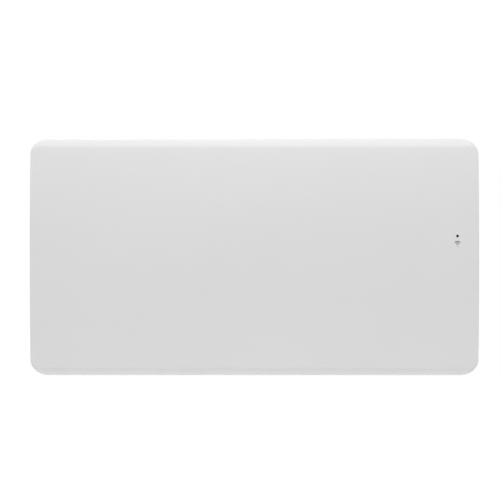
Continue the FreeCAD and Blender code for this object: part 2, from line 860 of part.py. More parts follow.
terminal_x = box_x
terminal_z = f"(-{wall_z} + dims.terminal_rise)"
terminal_top = f"({terminal_z} + dims.terminal_height / 2)"
terminal_low = f"({terminal_z} - dims.terminal_height / 2)"
lead_out = f"({board_face} + dims.connector_height / 2)"
terminal_block = new_body("terminal_block")
sketch = sketch_in(terminal_block, "front", floor_out)
centred(sketch, terminal_x, terminal_z, "dims.terminal_width", "dims.terminal_height")
pad(terminal_block, sketch, "dims.terminal_depth")
sketch = sketch_in(terminal_block, "top", terminal_low)
for step in (-1, 0, 1):
    circle(sketch, f"({terminal_x} + {step} * dims.lead_pitch)", y(lead_out), "dims.lead_radius + dims.rod_play")
pocket(terminal_block, sketch, "dims.terminal_height", True)
sketch = sketch_in(terminal_block, "front", f"{floor_out} + dims.terminal_depth")
for step in (-1, 0, 1):
    circle(sketch, f"({terminal_x} + {step} * dims.lead_pitch)", terminal_z, "dims.lead_radius * 2")
pocket(terminal_block, sketch, "dims.terminal_depth / 4")
terminal_places = []
sketch = sketch_in(terminal_block, "front", floor_out)
for side in (-1, 1):
    hole_x = f"({terminal_x} + {side} * (dims.terminal_width / 2 - 2 * dims.screw_radius))"
    circle(sketch, hole_x, terminal_z, hole_radius)
    terminal_places.append((hole_x, terminal_z))
pocket(terminal_block, sketch, "dims.screw_length", True)
node(terminal_block, "terminal_block")

# Cable gland through the back wall and its nut inside

gland_x = box_x
gland_z = f"(-{wall_z} + dims.gland_rise)"
gland_end = f"({floor_out} + dims.gland_nut_thickness + dims.gland_flange_thickness)"
gland_front = f"({back_out} - dims.gland_flange_thickness)"
cable_gland = new_body("cable_gland")
sketch = sketch_in(cable_gland, "top", gland_z, (gland_x, "0"))
gland_ring = [
    ("dims.gland_bore", y(gland_end)),
    ("dims.gland_radius", y(gland_end)),
    ("dims.gland_radius", y(back_out)),
    ("dims.gland_flange", y(back_out)),
    ("dims.gland_flange", y(f"{gland_front} + dims.gland_flange_thickness / 3")),
    ("dims.gland_flange - dims.gland_flange_thickness / 3", y(gland_front)),
    ("dims.gland_bore", y(gland_front)),
]
outline(sketch, gland_ring)
revolve(cable_gland, sketch)
node(cable_gland, "cable_gland")

gland_nut = new_body("gland_nut")
sketch = sketch_in(gland_nut, "front", floor_out)
flat = "dims.gland_nut_size * 0.8660254"
hexagon = [
    (f"{gland_x} + dims.gland_nut_size", gland_z),
    (f"{gland_x} + dims.gland_nut_size / 2", f"{gland_z} + {flat}"),
    (f"{gland_x} - dims.gland_nut_size / 2", f"{gland_z} + {flat}"),
    (f"{gland_x} - dims.gland_nut_size", gland_z),
    (f"{gland_x} - dims.gland_nut_size / 2", f"{gland_z} - {flat}"),
    (f"{gland_x} + dims.gland_nut_size / 2", f"{gland_z} - {flat}"),
]
outline(sketch, hexagon)
circle(sketch, gland_x, gland_z, "dims.gland_radius + dims.rod_play")
pad(gland_nut, sketch, "dims.gland_nut_thickness")
node(gland_nut, "gland_nut")

# Room probe standing in its clip near the bottom wall

probe_x = f"({wall_x} - dims.probe_edge)"
probe_out = f"({floor_out} + dims.probe_reach)"
probe_low = f"(-{wall_z} + dims.casing_sheet + dims.inlet_sheet + dims.probe_floor_gap)"
probe_high = f"({probe_low} + dims.probe_length)"
room_probe = new_body("room_probe")
sketch = sketch_in(room_probe, "front", probe_out, (probe_x, "0"))
probe_outline = [
    ("0", probe_low),
    ("dims.probe_radius / 2", probe_low),
    ("dims.probe_radius", f"{probe_low} + dims.probe_radius / 2"),
    ("dims.probe_radius", probe_high),
    ("0", probe_high),
]
outline(sketch, probe_outline)
revolve(room_probe, sketch)
node(room_probe, "room_probe")

probe_clip = new_body("probe_clip")
clip_low = f"({probe_high} - dims.clip_height - dims.probe_radius)"
sketch = sketch_in(probe_clip, "top", clip_low)
clip_front = f"{probe_out} + dims.probe_radius + dims.clip_width / 4"
clip_left = f"{probe_x} - dims.clip_width / 2"
clip_right = f"{probe_x} + dims.clip_width / 2"
rectangle(sketch, clip_left, y(clip_front), clip_right, y(floor_out))
circle(sketch, probe_x, y(probe_out), "dims.probe_radius + dims.rod_play")
pad(probe_clip, sketch, "dims.clip_height")
node(probe_clip, "probe_clip")

# Sensor: lens in the round window, holder behind it and a round board

seat_out = f"({skin_out('dims.panel_sheet', 'dims.sensor_rise + dims.holder_radius')} - dims.bond_gap)"
ledge_out = f"({seat_out} - dims.lens_flange_thickness)"
lens_front = f"({skin_out('0', 'dims.sensor_rise')} + dims.bond_gap)"
lens_shoulder = f"({lens_front} - dims.lens_radius / 8)"
sensor_lens = new_body("sensor_lens")
sketch = sketch_in(sensor_lens, "top", sensor_z, (sensor_x, "0"))
lens_outline = [
    ("0", y(ledge_out)),
    ("dims.lens_flange", y(ledge_out)),
    ("dims.lens_flange", y(seat_out)),
    ("dims.lens_radius", y(seat_out)),
    ("dims.lens_radius", y(lens_shoulder)),
    ("dims.lens_radius * 0.6", y(lens_front)),
    ("0", y(lens_front)),
]
outline(sketch, lens_outline)
revolve(sensor_lens, sketch)
node(sensor_lens, "sensor_lens")

holder_back = f"({seat_out} - dims.holder_depth)"
recess_out = f"({holder_back} + dims.holder_recess)"
recess_radius = "(dims.holder_radius * 0.8)"
sensor_holder = new_body("sensor_holder")
sketch = sketch_in(sensor_holder, "top", sensor_z, (sensor_x, "0"))
holder_ring = [
    ("dims.lens_flange + dims.bond_gap", y(seat_out)),
    ("dims.holder_radius", y(seat_out)),
    ("dims.holder_radius", y(holder_back)),
    (recess_radius, y(holder_back)),
    (recess_radius, y(recess_out)),
    ("dims.lens_flange * 0.75", y(recess_out)),
    ("dims.lens_flange * 0.75", y(ledge_out)),
    ("dims.lens_flange + dims.bond_gap", y(ledge_out)),
]
outline(sketch, holder_ring)
revolve(sensor_holder, sketch)
node(sensor_holder, "sensor_holder")

sensor_back = f"({recess_out} - dims.sensor_board_thickness)"
board_spot = (sensor_x, y(sensor_back), sensor_z)
sensor_board = post("sensor_board", "y", board_spot, f"{recess_radius} - dims.bond_gap",
                    "dims.sensor_board_thickness")
node(sensor_board, "sensor_board")

# Rear casing: the pan, its rim, the openings and the pressed swages

key_y = y(middle_out)
control_x = f"({wall_x} - dims.control_edge)"
grille_left = f"(-{wall_x} + dims.grille_margin)"
grille_right = f"({control_x} - dims.control_width / 2 - dims.grille_control_gap)"
grille_length = f"({grille_right} - {grille_left})"
grille_x = f"(({grille_left} + {grille_right}) / 2)"
grille_depth = "(dims.casing_depth - 2 * dims.grille_inset)"
inlet_length = f"(2 * ({wall_x} - dims.inlet_margin))"
inlet_depth = "(dims.casing_depth - 2 * dims.inlet_inset)"
rocker_z = f"({box_high} + dims.rocker_rise)"
hanger_places = []
bracket_x = [f"({side} * dims.fixing_width / 2)" for side in (-1, 1)]
pivot_out = "(dims.bracket_sheet + dims.pin_radius + dims.pin_play)"
pivot_z = f"(-{wall_z} + dims.pivot_rise)"
bracket_top = f"({wall_z} - dims.upright_drop)"
bracket_low = f"({pivot_z} + dims.tongue_length)"
shelf_low = f"({bracket_top} - dims.bracket_sheet)"
catch_low = f"({shelf_low} - dims.catch_drop)"
for x in bracket_x:
    for end in (-1, 1):
        hanger_places.append((f"({x} + {end} * dims.stirrup_width * 0.4)", pivot_z))
    catch_hole_z = f"({catch_low} + dims.catch_height - 2.5 * dims.screw_radius)"
    hanger_places.append((f"({x} + dims.catch_side + dims.catch_width / 2)", catch_hole_z))
back_places = support_places + shield_places + box_places + terminal_places

rear_casing = new_body("rear_casing")
sketch = sketch_in(rear_casing, "front", back_out)
rounded(sketch, "0", "0", wall_x, wall_z, casing_corner)
pad(rear_casing, sketch, "dims.casing_depth")
sketch = sketch_in(rear_casing, "front", floor_out)
inner_x = f"({wall_x} - dims.casing_sheet)"
inner_z = f"({wall_z} - dims.casing_sheet)"
inner_corner = f"({casing_corner} - dims.casing_sheet)"
rounded(sketch, "0", "0", inner_x, inner_z, inner_corner)
hollow = pocket(rear_casing, sketch, "dims.casing_depth", True)
inner_bend = fillet(rear_casing, hollow, lies_at(floor_out), "dims.casing_bend - dims.casing_sheet")
fillet(rear_casing, inner_bend, lies_at(back_out), "dims.casing_bend")
swage_sketch = sketch_in(rear_casing, "front", back_out)
swage_half = "(dims.swage_width / 2)"
rounded(swage_sketch, "0", "-dims.swage_pitch / 2", "(dims.swage_length / 2)", swage_half,
        f"{swage_half} * 0.8")
swage = pad(rear_casing, swage_sketch, "dims.swage_height", True)
row_of(rear_casing, swage, swage_sketch, "V_Axis", "dims.swage_pitch", "2")
groove_sketch = sketch_in(rear_casing, "front", floor_out)
groove_half = f"({swage_half} - dims.casing_sheet)"
rounded(groove_sketch, "0", "-dims.swage_pitch / 2", "(dims.swage_length / 2 - dims.casing_sheet)",
        groove_half, f"{groove_half} * 0.8")
groove = pocket(rear_casing, groove_sketch, "dims.swage_height")
row_of(rear_casing, groove, groove_sketch, "V_Axis", "dims.swage_pitch", "2")
sketch = sketch_in(rear_casing, "front", f"{rim_out} - dims.casing_sheet")
rim_half_width = f"({half_width} - dims.rim_reveal)"
rim_half_height = f"({half_height} - dims.rim_reveal)"
rounded(sketch, "0", "0", rim_half_width, rim_half_height, "(dims.panel_corner - dims.rim_reveal)")
rounded(sketch, "0", "0", inner_x, inner_z, inner_corner)
pad(rear_casing, sketch, "dims.casing_sheet")
sketch = sketch_in(rear_casing, "front", f"{rim_out} - dims.casing_sheet")
for x, z in rim_places:
    circle(sketch, x, z, hole_radius)
pocket(rear_casing, sketch, "dims.casing_sheet", True)
sketch = sketch_in(rear_casing, "front", back_out)
for x, z in back_places + hanger_places:
    circle(sketch, x, z, hole_radius)
circle(sketch, gland_x, gland_z, "dims.gland_radius + dims.rod_play")
pocket(rear_casing, sketch, "dims.casing_sheet", True)
sketch = sketch_in(rear_casing, "top", wall_z)
centred(sketch, grille_x, key_y, grille_length, grille_depth)
centred(sketch, control_x, key_y, "dims.control_width", grille_depth)
fascia_screw_places = []
for side in (-1, 1):
    hole_x = f"({control_x} + {side} * (dims.control_width + dims.grille_flange) / 2)"
    circle(sketch, hole_x, key_y, "dims.fascia_screw_radius + dims.screw_play")
    fascia_screw_places.append(hole_x)
pocket(rear_casing, sketch, "dims.casing_sheet")
sketch = sketch_in(rear_casing, "top", f"-{wall_z}")
centred(sketch, "0", key_y, inlet_length, inlet_depth)
pocket(rear_casing, sketch, "dims.casing_sheet", True)
case_length = "(dims.rocker_length + 2 * dims.fit_gap + 2 * dims.rocker_case_wall + dims.bezel_edge)"
case_width = "(dims.rocker_width + 2 * dims.fit_gap + 2 * dims.rocker_case_wall)"
sketch = sketch_in(rear_casing, "side", wall_x)
centred(sketch, key_y, rocker_z, f"{case_width} + 2 * dims.fit_gap", f"{case_length} + 2 * dims.fit_gap")
pocket(rear_casing, sketch, "dims.casing_sheet")
node(rear_casing, "rear_casing")

# Outlet grille: flange on the top wall, skirt through it, leaning slats and cross ribs

top_grille = new_body("top_grille")
plug_length = f"({grille_length} - 2 * dims.fit_gap)"
plug_depth = f"({grille_depth} - 2 * dims.fit_gap)"
free_length = f"({plug_length} - 2 * dims.grille_wall)"
free_depth = f"({plug_depth} - 2 * dims.grille_wall)"
flange_depth = f"({grille_depth} + 2 * dims.grille_flange)"
sketch = sketch_in(top_grille, "top", wall_z)
centred(sketch, grille_x, key_y, f"{grille_length} + 2 * dims.grille_flange", flange_depth)
centred(sketch, grille_x, key_y, free_length, free_depth)
pad(top_grille, sketch, "dims.grille_plate")
sketch = sketch_in(top_grille, "top", f"{wall_z} - dims.grille_skirt")
centred(sketch, grille_x, key_y, plug_length, plug_depth)
centred(sketch, grille_x, key_y, free_length, free_depth)
pad(top_grille, sketch, "dims.grille_skirt")
slat_sketch = sketch_in(top_grille, "side", f"{grille_x} - {plug_length} / 2 + dims.grille_wall / 2")
slat_pitch = f"({free_depth} / (dims.slat_count + 1))"
slat_y = f"({key_y} - {free_depth} / 2 + {slat_pitch} - dims.slat_lean / 2)"
slat_top = f"({wall_z} + dims.grille_plate * 0.8)"
slat_low = f"({wall_z} - dims.grille_skirt * 0.9)"
slat_corners = [
    (f"{slat_y} + dims.slat_lean", slat_low),
    (f"{slat_y} + dims.slat_lean + dims.slat_thickness", slat_low),
    (f"{slat_y} + dims.slat_thickness", slat_top),
    (slat_y, slat_top),
]
outline(slat_sketch, slat_corners)
slats = pad(top_grille, slat_sketch, f"{plug_length} - dims.grille_wall")
row_of(top_grille, slats, slat_sketch, "H_Axis", slat_pitch, "dims.slat_count")
rib_count = f"floor({free_length} / dims.rib_pitch)"
rib_sketch = sketch_in(top_grille, "top", f"{wall_z} - dims.grille_skirt")
rib_x = f"({grille_x} - ({rib_count} - 1) / 2 * dims.rib_pitch)"
centred(rib_sketch, rib_x, key_y, "dims.rib_thickness", f"{plug_depth} - dims.grille_wall")
ribs = pad(top_grille, rib_sketch, "dims.grille_skirt * 0.9")
row_of(top_grille, ribs, rib_sketch, "H_Axis", "dims.rib_pitch", rib_count)
snap_count = f"floor({free_length} / dims.snap_pitch)"
snap_x = f"({grille_x} - ({snap_count} - 1) / 2 * dims.snap_pitch - dims.snap_width / 2)"
snap_sketch = sketch_in(top_grille, "side", snap_x)
snap_top = f"({wall_z} - dims.casing_sheet - dims.key_gap)"
for side in ("-", "+"):
    root = f"{key_y} {side} ({plug_depth} / 2 - dims.grille_wall / 2)"
    face = f"{key_y} {side} {plug_depth} / 2"
    tip = f"{key_y} {side} ({plug_depth} / 2 + dims.snap_reach)"
    outline(snap_sketch, [(root, snap_top), (tip, snap_top), (face, f"{snap_top} - dims.snap_height"),
                          (root, f"{snap_top} - dims.snap_height")])
snaps = pad(top_grille, snap_sketch, "dims.snap_width")
row_of(top_grille, snaps, rib_sketch, "H_Axis", "dims.snap_pitch", snap_count)
node(top_grille, "top_grille")

# Inlet grille: a slotted strip lying on the bottom wall inside the casing

bottom_grille = new_body("bottom_grille")
inlet_low = f"-{inner_z}"
sketch = sketch_in(bottom_grille, "top", inlet_low)
strip_length = f"({inlet_length} + 2 * dims.inlet_overlap)"
centred(sketch, "0", key_y, strip_length, f"{inlet_depth} + 2 * dims.inlet_overlap")
pad(bottom_grille, sketch, "dims.inlet_sheet")
slot_sketch = sketch_in(bottom_grille, "top", inlet_low)
slot_count = f"floor({inlet_length} / dims.inlet_slot_pitch)"
slot_x = f"(-({slot_count} - 1) / 2 * dims.inlet_slot_pitch)"
centred(slot_sketch, slot_x, key_y, "dims.inlet_slot_width", f"{inlet_depth} - 2 * dims.inlet_edge")
slots = pocket(bottom_grille, slot_sketch, "dims.inlet_sheet", True)
row_of(bottom_grille, slots, slot_sketch, "H_Axis", "dims.inlet_slot_pitch", slot_count)
node(bottom_grille, "bottom_grille")

# Control unit: housing, board, key switches, display, fascia and four keys

plate_top = f"({wall_z} + dims.grille_plate)"
fascia_top = f"({plate_top} + dims.fascia_thickness)"
tub_low = f"({wall_z} - dims.control_drop)"
tub_floor = f"({tub_low} + dims.control_wall)"
tub_width = "(dims.control_width - 2 * dims.fit_gap)"
tub_free_width = f"({tub_width} - 2 * dims.control_wall)"
tub_free_depth = f"({plug_depth} - 2 * dims.control_wall)"
control_board_low = f"({tub_floor} + dims.board_stand)"
control_board_top = f"({control_board_low} + dims.board_thickness)"
flange_half_width = "(dims.control_width / 2 + dims.grille_flange)"
flange_half_depth = f"({flange_depth} / 2)"
ribbon_out = lead_out
control_stands = []
for side in (-1, 1):
    for end in (-1, 1):
        stand_x = f"({control_x} + {side} * ({tub_free_width} / 2 - 2 * dims.stand_radius))"
        control_stands.append((stand_x, f"({key_y} + {end} * ({tub_free_depth} / 2 - 1.5 * dims.stand_radius))"))

control_housing = new_body("control_housing")
sketch = sketch_in(control_housing, "top", wall_z)
rounded(sketch, control_x, key_y, flange_half_width, flange_half_depth, "dims.fascia_corner")
pad(control_housing, sketch, "dims.grille_plate")
sketch = sketch_in(control_housing, "top", wall_z)
centred(sketch, control_x, key_y, tub_width, plug_depth)
pad(control_housing, sketch, "dims.control_drop", True)
sketch = sketch_in(control_housing, "top", plate_top)
centred(sketch, control_x, key_y, tub_free_width, tub_free_depth)
pocket(control_housing, sketch, f"{plate_top} - {tub_floor}")
sketch = sketch_in(control_housing, "top", tub_floor)
for x, stand_y in control_stands:
    circle(sketch, x, stand_y, "dims.stand_radius")
pad(control_housing, sketch, "dims.board_stand")
sketch = sketch_in(control_housing, "top", tub_floor)
slot_width = "dims.ribbon_width + 4 * dims.fit_gap"
centred(sketch, box_x, y(ribbon_out), slot_width, "dims.ribbon_thickness + 4 * dims.fit_gap")
pocket(control_housing, sketch, "dims.control_wall")
sketch = sketch_in(control_housing, "top", plate_top)
for x in fascia_screw_places:
    circle(sketch, x, key_y, "dims.fascia_screw_radius + dims.screw_play")
pocket(control_housing, sketch, "dims.grille_plate")
node(control_housing, "control_housing")

control_board = new_body("control_board")
sketch = sketch_in(control_board, "top", control_board_low)
board_width = f"{tub_free_width} - 2 * dims.fit_gap"
centred(sketch, control_x, key_y, board_width, f"{tub_free_depth} - 2 * dims.fit_gap")
pad(control_board, sketch, "dims.board_thickness")
node(control_board, "control_board")

display_x = f"({control_x} + dims.display_shift)"


def display_block(name, width, depth, low, high):
    left = f"{display_x} - ({width}) / 2"
    right = f"{display_x} + ({width}) / 2"
    back = f"{key_y} + ({depth}) / 2"
    front = f"{key_y} - ({depth}) / 2"
    return block(name, (left, front, low), (right, back, high))


module_width = "dims.display_width + 2 * dims.control_wall"
module_depth = "dims.display_depth + 2 * dims.control_wall"
display_module = display_block("display_module", module_width, module_depth, control_board_top, plate_top)
node(display_module, "display_module")
window_top = f"{fascia_top} - dims.key_gap"
display_window = display_block("display_window", "dims.display_width", "dims.display_depth", plate_top, window_top)
node(display_window, "display_window")

key_names = ["key_mode", "key_minus", "key_plus", "key_menu"]
key_places = []
for i in range(len(key_names)):
    key_places.append(f"({control_x} + dims.key_shift + {i - 1.5} * dims.key_pitch)")

switch_top = f"({control_board_top} + dims.switch_height)"
switches = []
for x in key_places:
    half = "dims.switch_size / 2"
    low = (f"{x} - {half}", f"{key_y} - {half}", control_board_top)
    high = (f"{x} + {half}", f"{key_y} + {half}", switch_top)
    plunger = post("plunger", "z", (x, key_y, switch_top), "dims.plunger_radius", "dims.plunger_height")
    switches.append(fuse("key_switch", [block("switch_case", low, high), plunger]))
node(group("key_switches", switches), "key_switches")

control_fascia = new_body("control_fascia")
sketch = sketch_in(control_fascia, "top", plate_top)
rounded(sketch, control_x, key_y, flange_half_width, flange_half_depth, "dims.fascia_corner")
opening_width = "dims.display_width + 2 * dims.key_gap"
centred(sketch, display_x, key_y, opening_width, "dims.display_depth + 2 * dims.key_gap")
for x in key_places:
    circle(sketch, x, key_y, "dims.key_radius + dims.key_gap")
for x in fascia_screw_places:
    circle(sketch, x, key_y, "dims.fascia_screw_radius + dims.screw_play")
pad(control_fascia, sketch, "dims.fascia_thickness")
node(control_fascia, "control_fascia")

key_top = f"({fascia_top} + dims.key_proud)"
collar_top = f"({plate_top} - dims.key_gap)"
collar_low = f"({collar_top} - dims.key_collar_height)"
stem_low = f"({switch_top} + dims.plunger_height + dims.key_travel + dims.key_gap)"
for label, x in zip(key_names, key_places):
    key = new_body(label)
    sketch = sketch_in(key, "front", middle_out, (x, "0"))
    key_outline = [
        ("0", stem_low),
        ("dims.key_stem_radius", stem_low),
        ("dims.key_stem_radius", collar_low),
        ("dims.key_radius + dims.key_collar", collar_low),
        ("dims.key_radius + dims.key_collar", collar_top),
        ("dims.key_radius", collar_top),
        ("dims.key_radius", f"{key_top} - dims.key_proud / 2"),
        ("dims.key_radius - dims.key_proud / 2", key_top),
        ("0", key_top),
    ]
    outline(sketch, key_outline)
    revolve(key, sketch)
    node(key, label)

# Power switch: a bezelled case in the right wall and a rocker on two axle stubs

pivot_x = f"({wall_x} - dims.rocker_sink)"
bezel_x = f"({wall_x} + dims.bezel_thickness)"
well_length = "(dims.rocker_length + 2 * dims.fit_gap + dims.bezel_edge)"
well_width = "(dims.rocker_width + 2 * dims.fit_gap)"
switch_case = new_body("power_switch_body")
sketch = sketch_in(switch_case, "side", wall_x)
bezel_width = f"{case_width} + 2 * dims.bezel_edge"
centred(sketch, key_y, rocker_z, bezel_width, f"{case_length} + 2 * dims.bezel_edge")
pad(switch_case, sketch, "dims.bezel_thickness")
sketch = sketch_in(switch_case, "side", wall_x)
centred(sketch, key_y, rocker_z, case_width, case_length)
pad(switch_case, sketch, "dims.rocker_case_depth", True)
sketch = sketch_in(switch_case, "side", bezel_x)
centred(sketch, key_y, rocker_z, well_width, well_length)
pocket(switch_case, sketch, "dims.bezel_thickness + dims.rocker_well")
axle_half = "(dims.rocker_width / 2 + dims.rocker_axle_stub)"
sketch = sketch_in(switch_case, "front", f"{middle_out} - {axle_half} - dims.key_gap")
circle(sketch, pivot_x, rocker_z, "dims.rocker_axle_radius + dims.rod_play")
pocket(switch_case, sketch, f"2 * ({axle_half} + dims.key_gap)", True)
node(switch_case, "power_switch_body")

rocker = new_body("power_switch_rocker")
rocker.Placement.Rotation = FreeCAD.Rotation(FreeCAD.Vector(0, 1, 0), number("dims.rocker_tilt"))
place(rocker, (pivot_x, key_y, rocker_z))
bind(rocker, Placement__Rotation__Angle="dims.rocker_tilt")
half_rocker = "dims.rocker_length / 2"
face_rise = "(dims.rocker_sink + dims.bezel_thickness)"
rocker_outline = [
    ("-dims.rocker_axle_radius * 1.5", f"-({half_rocker}) * 0.6"),
    (f"{face_rise} * 0.2", f"-({half_rocker})"),
    (f"{face_rise} * 1.1", f"-({half_rocker})"),
    (f"{face_rise} * 0.8", "0"),
    (f"{face_rise} * 1.1", half_rocker),
    (f"{face_rise} * 0.2", half_rocker),
    ("-dims.rocker_axle_radius * 1.5", f"({half_rocker}) * 0.6"),
]
sketch = sketch_in(rocker, "front", "-dims.rocker_width / 2")
outline(sketch, rocker_outline)
pad(rocker, sketch, "dims.rocker_width")
sketch = sketch_in(rocker, "front", f"-{axle_half}")
circle(sketch, "0", "0", "dims.rocker_axle_radius")
pad(rocker, sketch, f"2 * {axle_half}")
node(rocker, "power_switch_rocker")

# Leads held inside the casing: straight runs joined by round bends


def lead(name, corners, radius="dims.lead_radius"):
    places = [FreeCAD.Vector(*[number(text) for text in corner]) for corner in corners]
    bend = number("dims.lead_bend")
    edges = []
    last = places[0]
    for before, here, after in zip(places, places[1:], places[2:]):
        inward = (before - here).normalize()
        onward = (after - here).normalize()
        reach = bend * (inward + onward).Length / (inward - onward).Length
        first = here + inward * reach
        second = here + onward * reach
        middle = (inward + onward).normalize()
        apex = here + middle * ((bend ** 2 + reach ** 2) ** 0.5 - bend)
        edges.append(Part.LineSegment(last, first).toShape())
        edges.append(Part.Arc(first, apex, second).toShape())
        last = second
    edges.append(Part.LineSegment(last, places[-1]).toShape())
    start = (places[1] - places[0]).normalize()
    disc = Part.Wire(Part.makeCircle(number(radius), places[0], start))
    item = doc.addObject("Part::Feature", name)
    item.Shape = Part.Wire(edges).makePipeShell([disc], True, False)
    return item


rod_start = f"({heater_middle} - {pin_half})"
rod_end = f"({heater_middle} + {pin_half})"
row_low = f"({row_z} - dims.connector_width / 2)"
lead_y = y(lead_out)
right_x = f"({box_x} - 2 * dims.lead_pitch)"
left_x = f"({box_x} + 2 * dims.lead_pitch)"
cover = "3 * dims.lead_radius"
node(lead("heater_lead_right", [
    (rod_end, heater_y, heater_z),
    (f"{rod_end} + {cover} + dims.lead_bend", heater_y, heater_z),
    (right_x, lead_y, heater_z),
    (right_x, lead_y, row_low),
]), "heater_lead_right")
low_run = f"({shield_low} - 3 * dims.shield_foot)"
node(lead("heater_lead_left", [
    (rod_start, heater_y, heater_z),
    (f"{rod_start} - {cover} - dims.lead_bend", heater_y, heater_z),
    (f"{rod_start} - {cover} - dims.lead_bend", heater_y, low_run),
    (left_x, heater_y, low_run),
    (left_x, heater_y, f"{terminal_top} + dims.lead_bend"),
    (left_x, lead_y, f"{terminal_top} + 4 * dims.lead_bend"),
    (left_x, lead_y, row_low),
]), "heater_lead_left")

film_leads = []
for end in (-1, 1):
    spot_z = f"({film_lead_z} + {end} * dims.connector_length / 4)"
    film_rear = skin_out(film_back, f"abs({spot_z}) + dims.lead_radius")
    start = f"({board_face} + dims.connector_height)"
    film_leads.append(post("film_lead", "y", (film_lead_x, y(start), spot_z), "dims.lead_radius",
                           f"{film_rear} - dims.bond_gap - {start}"))
node(group("film_leads", film_leads), "film_leads")

sensor_start = f"({board_face} + dims.connector_height)"
sensor_lead = post("sensor_lead", "y", (sensor_x, y(sensor_start), sensor_z), "dims.lead_radius",
                   f"{sensor_back} - {sensor_start}")
node(sensor_lead, "sensor_lead")

mains_leads = []
for step in (-1, 0, 1):
    spot = (f"{box_x} + {step} * dims.lead_pitch", lead_y, terminal_z)
    mains_leads.append(post("mains_lead", "z", spot, "dims.lead_radius", f"{row_low} - {terminal_z}"))
node(group("mains_leads", mains_leads), "mains_leads")

probe_lead = post("probe_lead", "z", (probe_x, y(probe_out), probe_high), "dims.lead_radius",
                  f"{box_low} - {probe_high}")
node(probe_lead, "probe_lead")

ribbon_low = f"({ribbon_z} + dims.connector_width / 2)"
ribbon_left = f"{box_x} - dims.ribbon_width / 2"
ribbon_right = f"{box_x} + dims.ribbon_width / 2"
ribbon_front = y(f"{ribbon_out} + dims.ribbon_thickness / 2")
ribbon_back = y(f"{ribbon_out} - dims.ribbon_thickness / 2")
control_ribbon = block("control_ribbon", (ribbon_left, ribbon_front, ribbon_low),
                       (ribbon_right, ribbon_back, control_board_low))
node(control_ribbon, "control_ribbon")

case_end = f"({wall_x} - dims.rocker_case_depth)"
switch_lead_x = f"({box_x} + dims.box_notch / 2 - dims.lead_pitch)"
node(lead("switch_lead", [
    (case_end, key_y, rocker_z),
    (switch_lead_x, key_y, rocker_z),
    (switch_lead_x, key_y, f"{rocker_z} - 2 * dims.lead_bend"),
    (switch_lead_x, lead_y, f"{rocker_z} - 4 * dims.lead_bend"),
    (switch_lead_x, lead_y, f"{ribbon_z}"),
]), "switch_lead")

# Wall bracket: two uprights with a hook below and a shelf above, and two rails


def bracket_upright(label, x, side):
    body = new_body(label)
    half = "dims.upright_width / 2"
    low = bracket_low
    sketch = sketch_in(body, "front", "0")
    tongue_left = f"{x} - dims.tongue_width / 2"
    tongue_right = f"{x} + dims.tongue_width / 2"
    web = [
        (f"{x} - {half}", low),
        (tongue_left, low),
        (tongue_left, pivot_z),
        (tongue_right, pivot_z),
        (tongue_right, low),
        (f"{x} + {half}", low),
        (f"{x} + {half}", bracket_top),
        (f"{x} - {half}", bracket_top),
    ]
    outline(sketch, web)
    pad(body, sketch, "dims.bracket_sheet")
    hook = "(dims.pin_radius + dims.pin_play)"
    sketch = sketch_in(body, "side", tongue_left)
    circle(sketch, y(pivot_out), pivot_z, f"{hook} + dims.bracket_sheet")
    pad(body, sketch, "dims.tongue_width")
    sketch = sketch_in(body, "side", tongue_left)
    circle(sketch, y(pivot_out), pivot_z, hook)
    pocket(body, sketch, "dims.tongue_width", True)
    sketch = sketch_in(body, "side", tongue_left)
    throat_high = f"{pivot_z} + {hook} + dims.bracket_sheet"
    rectangle(sketch, y(f"{pivot_out} + {hook}"), pivot_z, y("dims.bracket_sheet"), throat_high)
    pocket(body, sketch, "dims.tongue_width", True)
    inner_edge = f"({x} + {side} * ({half} - dims.bracket_sheet))"
    outer_edge = f"({x} + {side} * {half})"
    left, right = (inner_edge, outer_edge) if side > 0 else (outer_edge, inner_edge)
    sketch = sketch_in(body, "front", "0")
    rectangle(sketch, left, low, right, bracket_top)
    flange = pad(body, sketch, "dims.wall_gap - dims.flange_gap")
    inner_bend = fillet(body, flange, stands_at(inner_edge, "dims.bracket_sheet"), "dims.upright_bend")
    fillet(body, inner_bend, stands_at(outer_edge, "0"), "dims.upright_bend + dims.bracket_sheet")
    sketch = sketch_in(body, "top", shelf_low)
    shelf_front = "-(dims.wall_gap - dims.shelf_gap)"
    rectangle(sketch, f"{x} - dims.shelf_width / 2", shelf_front, f"{x} + dims.shelf_width / 2", "0")
    pad(body, sketch, "dims.bracket_sheet")
    sketch = sketch_in(body, "top", shelf_low)
    circle(sketch, x, "-dims.spindle_out", "dims.spindle_radius + dims.fit_gap")
    pocket(body, sketch, "dims.bracket_sheet", True)
    sketch = sketch_in(body, "front", "0")
    for end in (-1, 1):
        circle(sketch, x, f"({end} * dims.fixing_height / 2)", "dims.fixing_radius")
        for step in (-1, 1):
            rivet_x = f"({x} + {step} * dims.rivet_pitch / 2)"
            circle(sketch, rivet_x, f"({end} * dims.rail_rise)", "dims.rivet_radius + dims.snug_gap")
    pocket(body, sketch, "dims.bracket_sheet", True)
    return node(body, label)


bracket_upright("bracket_upright_left", bracket_x[0], -1)
bracket_upright("bracket_upright_right", bracket_x[1], 1)

rail_out = "(dims.bracket_sheet + dims.rail_sheet)"
rail_half = "(dims.fixing_width / 2 + dims.rivet_pitch / 2 + dims.rivet_head_radius * 1.2)"


def bracket_rail(label, z):
    body = new_body(label)
    sketch = sketch_in(body, "front", "dims.bracket_sheet")
    centred(sketch, "0", z, f"2 * {rail_half}", "dims.rail_height")
    for x in bracket_x:
        for step in (-1, 1):
            circle(sketch, f"({x} + {step} * dims.rivet_pitch / 2)", z, "dims.rivet_radius + dims.snug_gap")
    pad(body, sketch, "dims.rail_sheet")
    return node(body, label)


bracket_rail("bracket_top_rail", "dims.rail_rise")
bracket_rail("bracket_bottom_rail", "(-dims.rail_rise)")

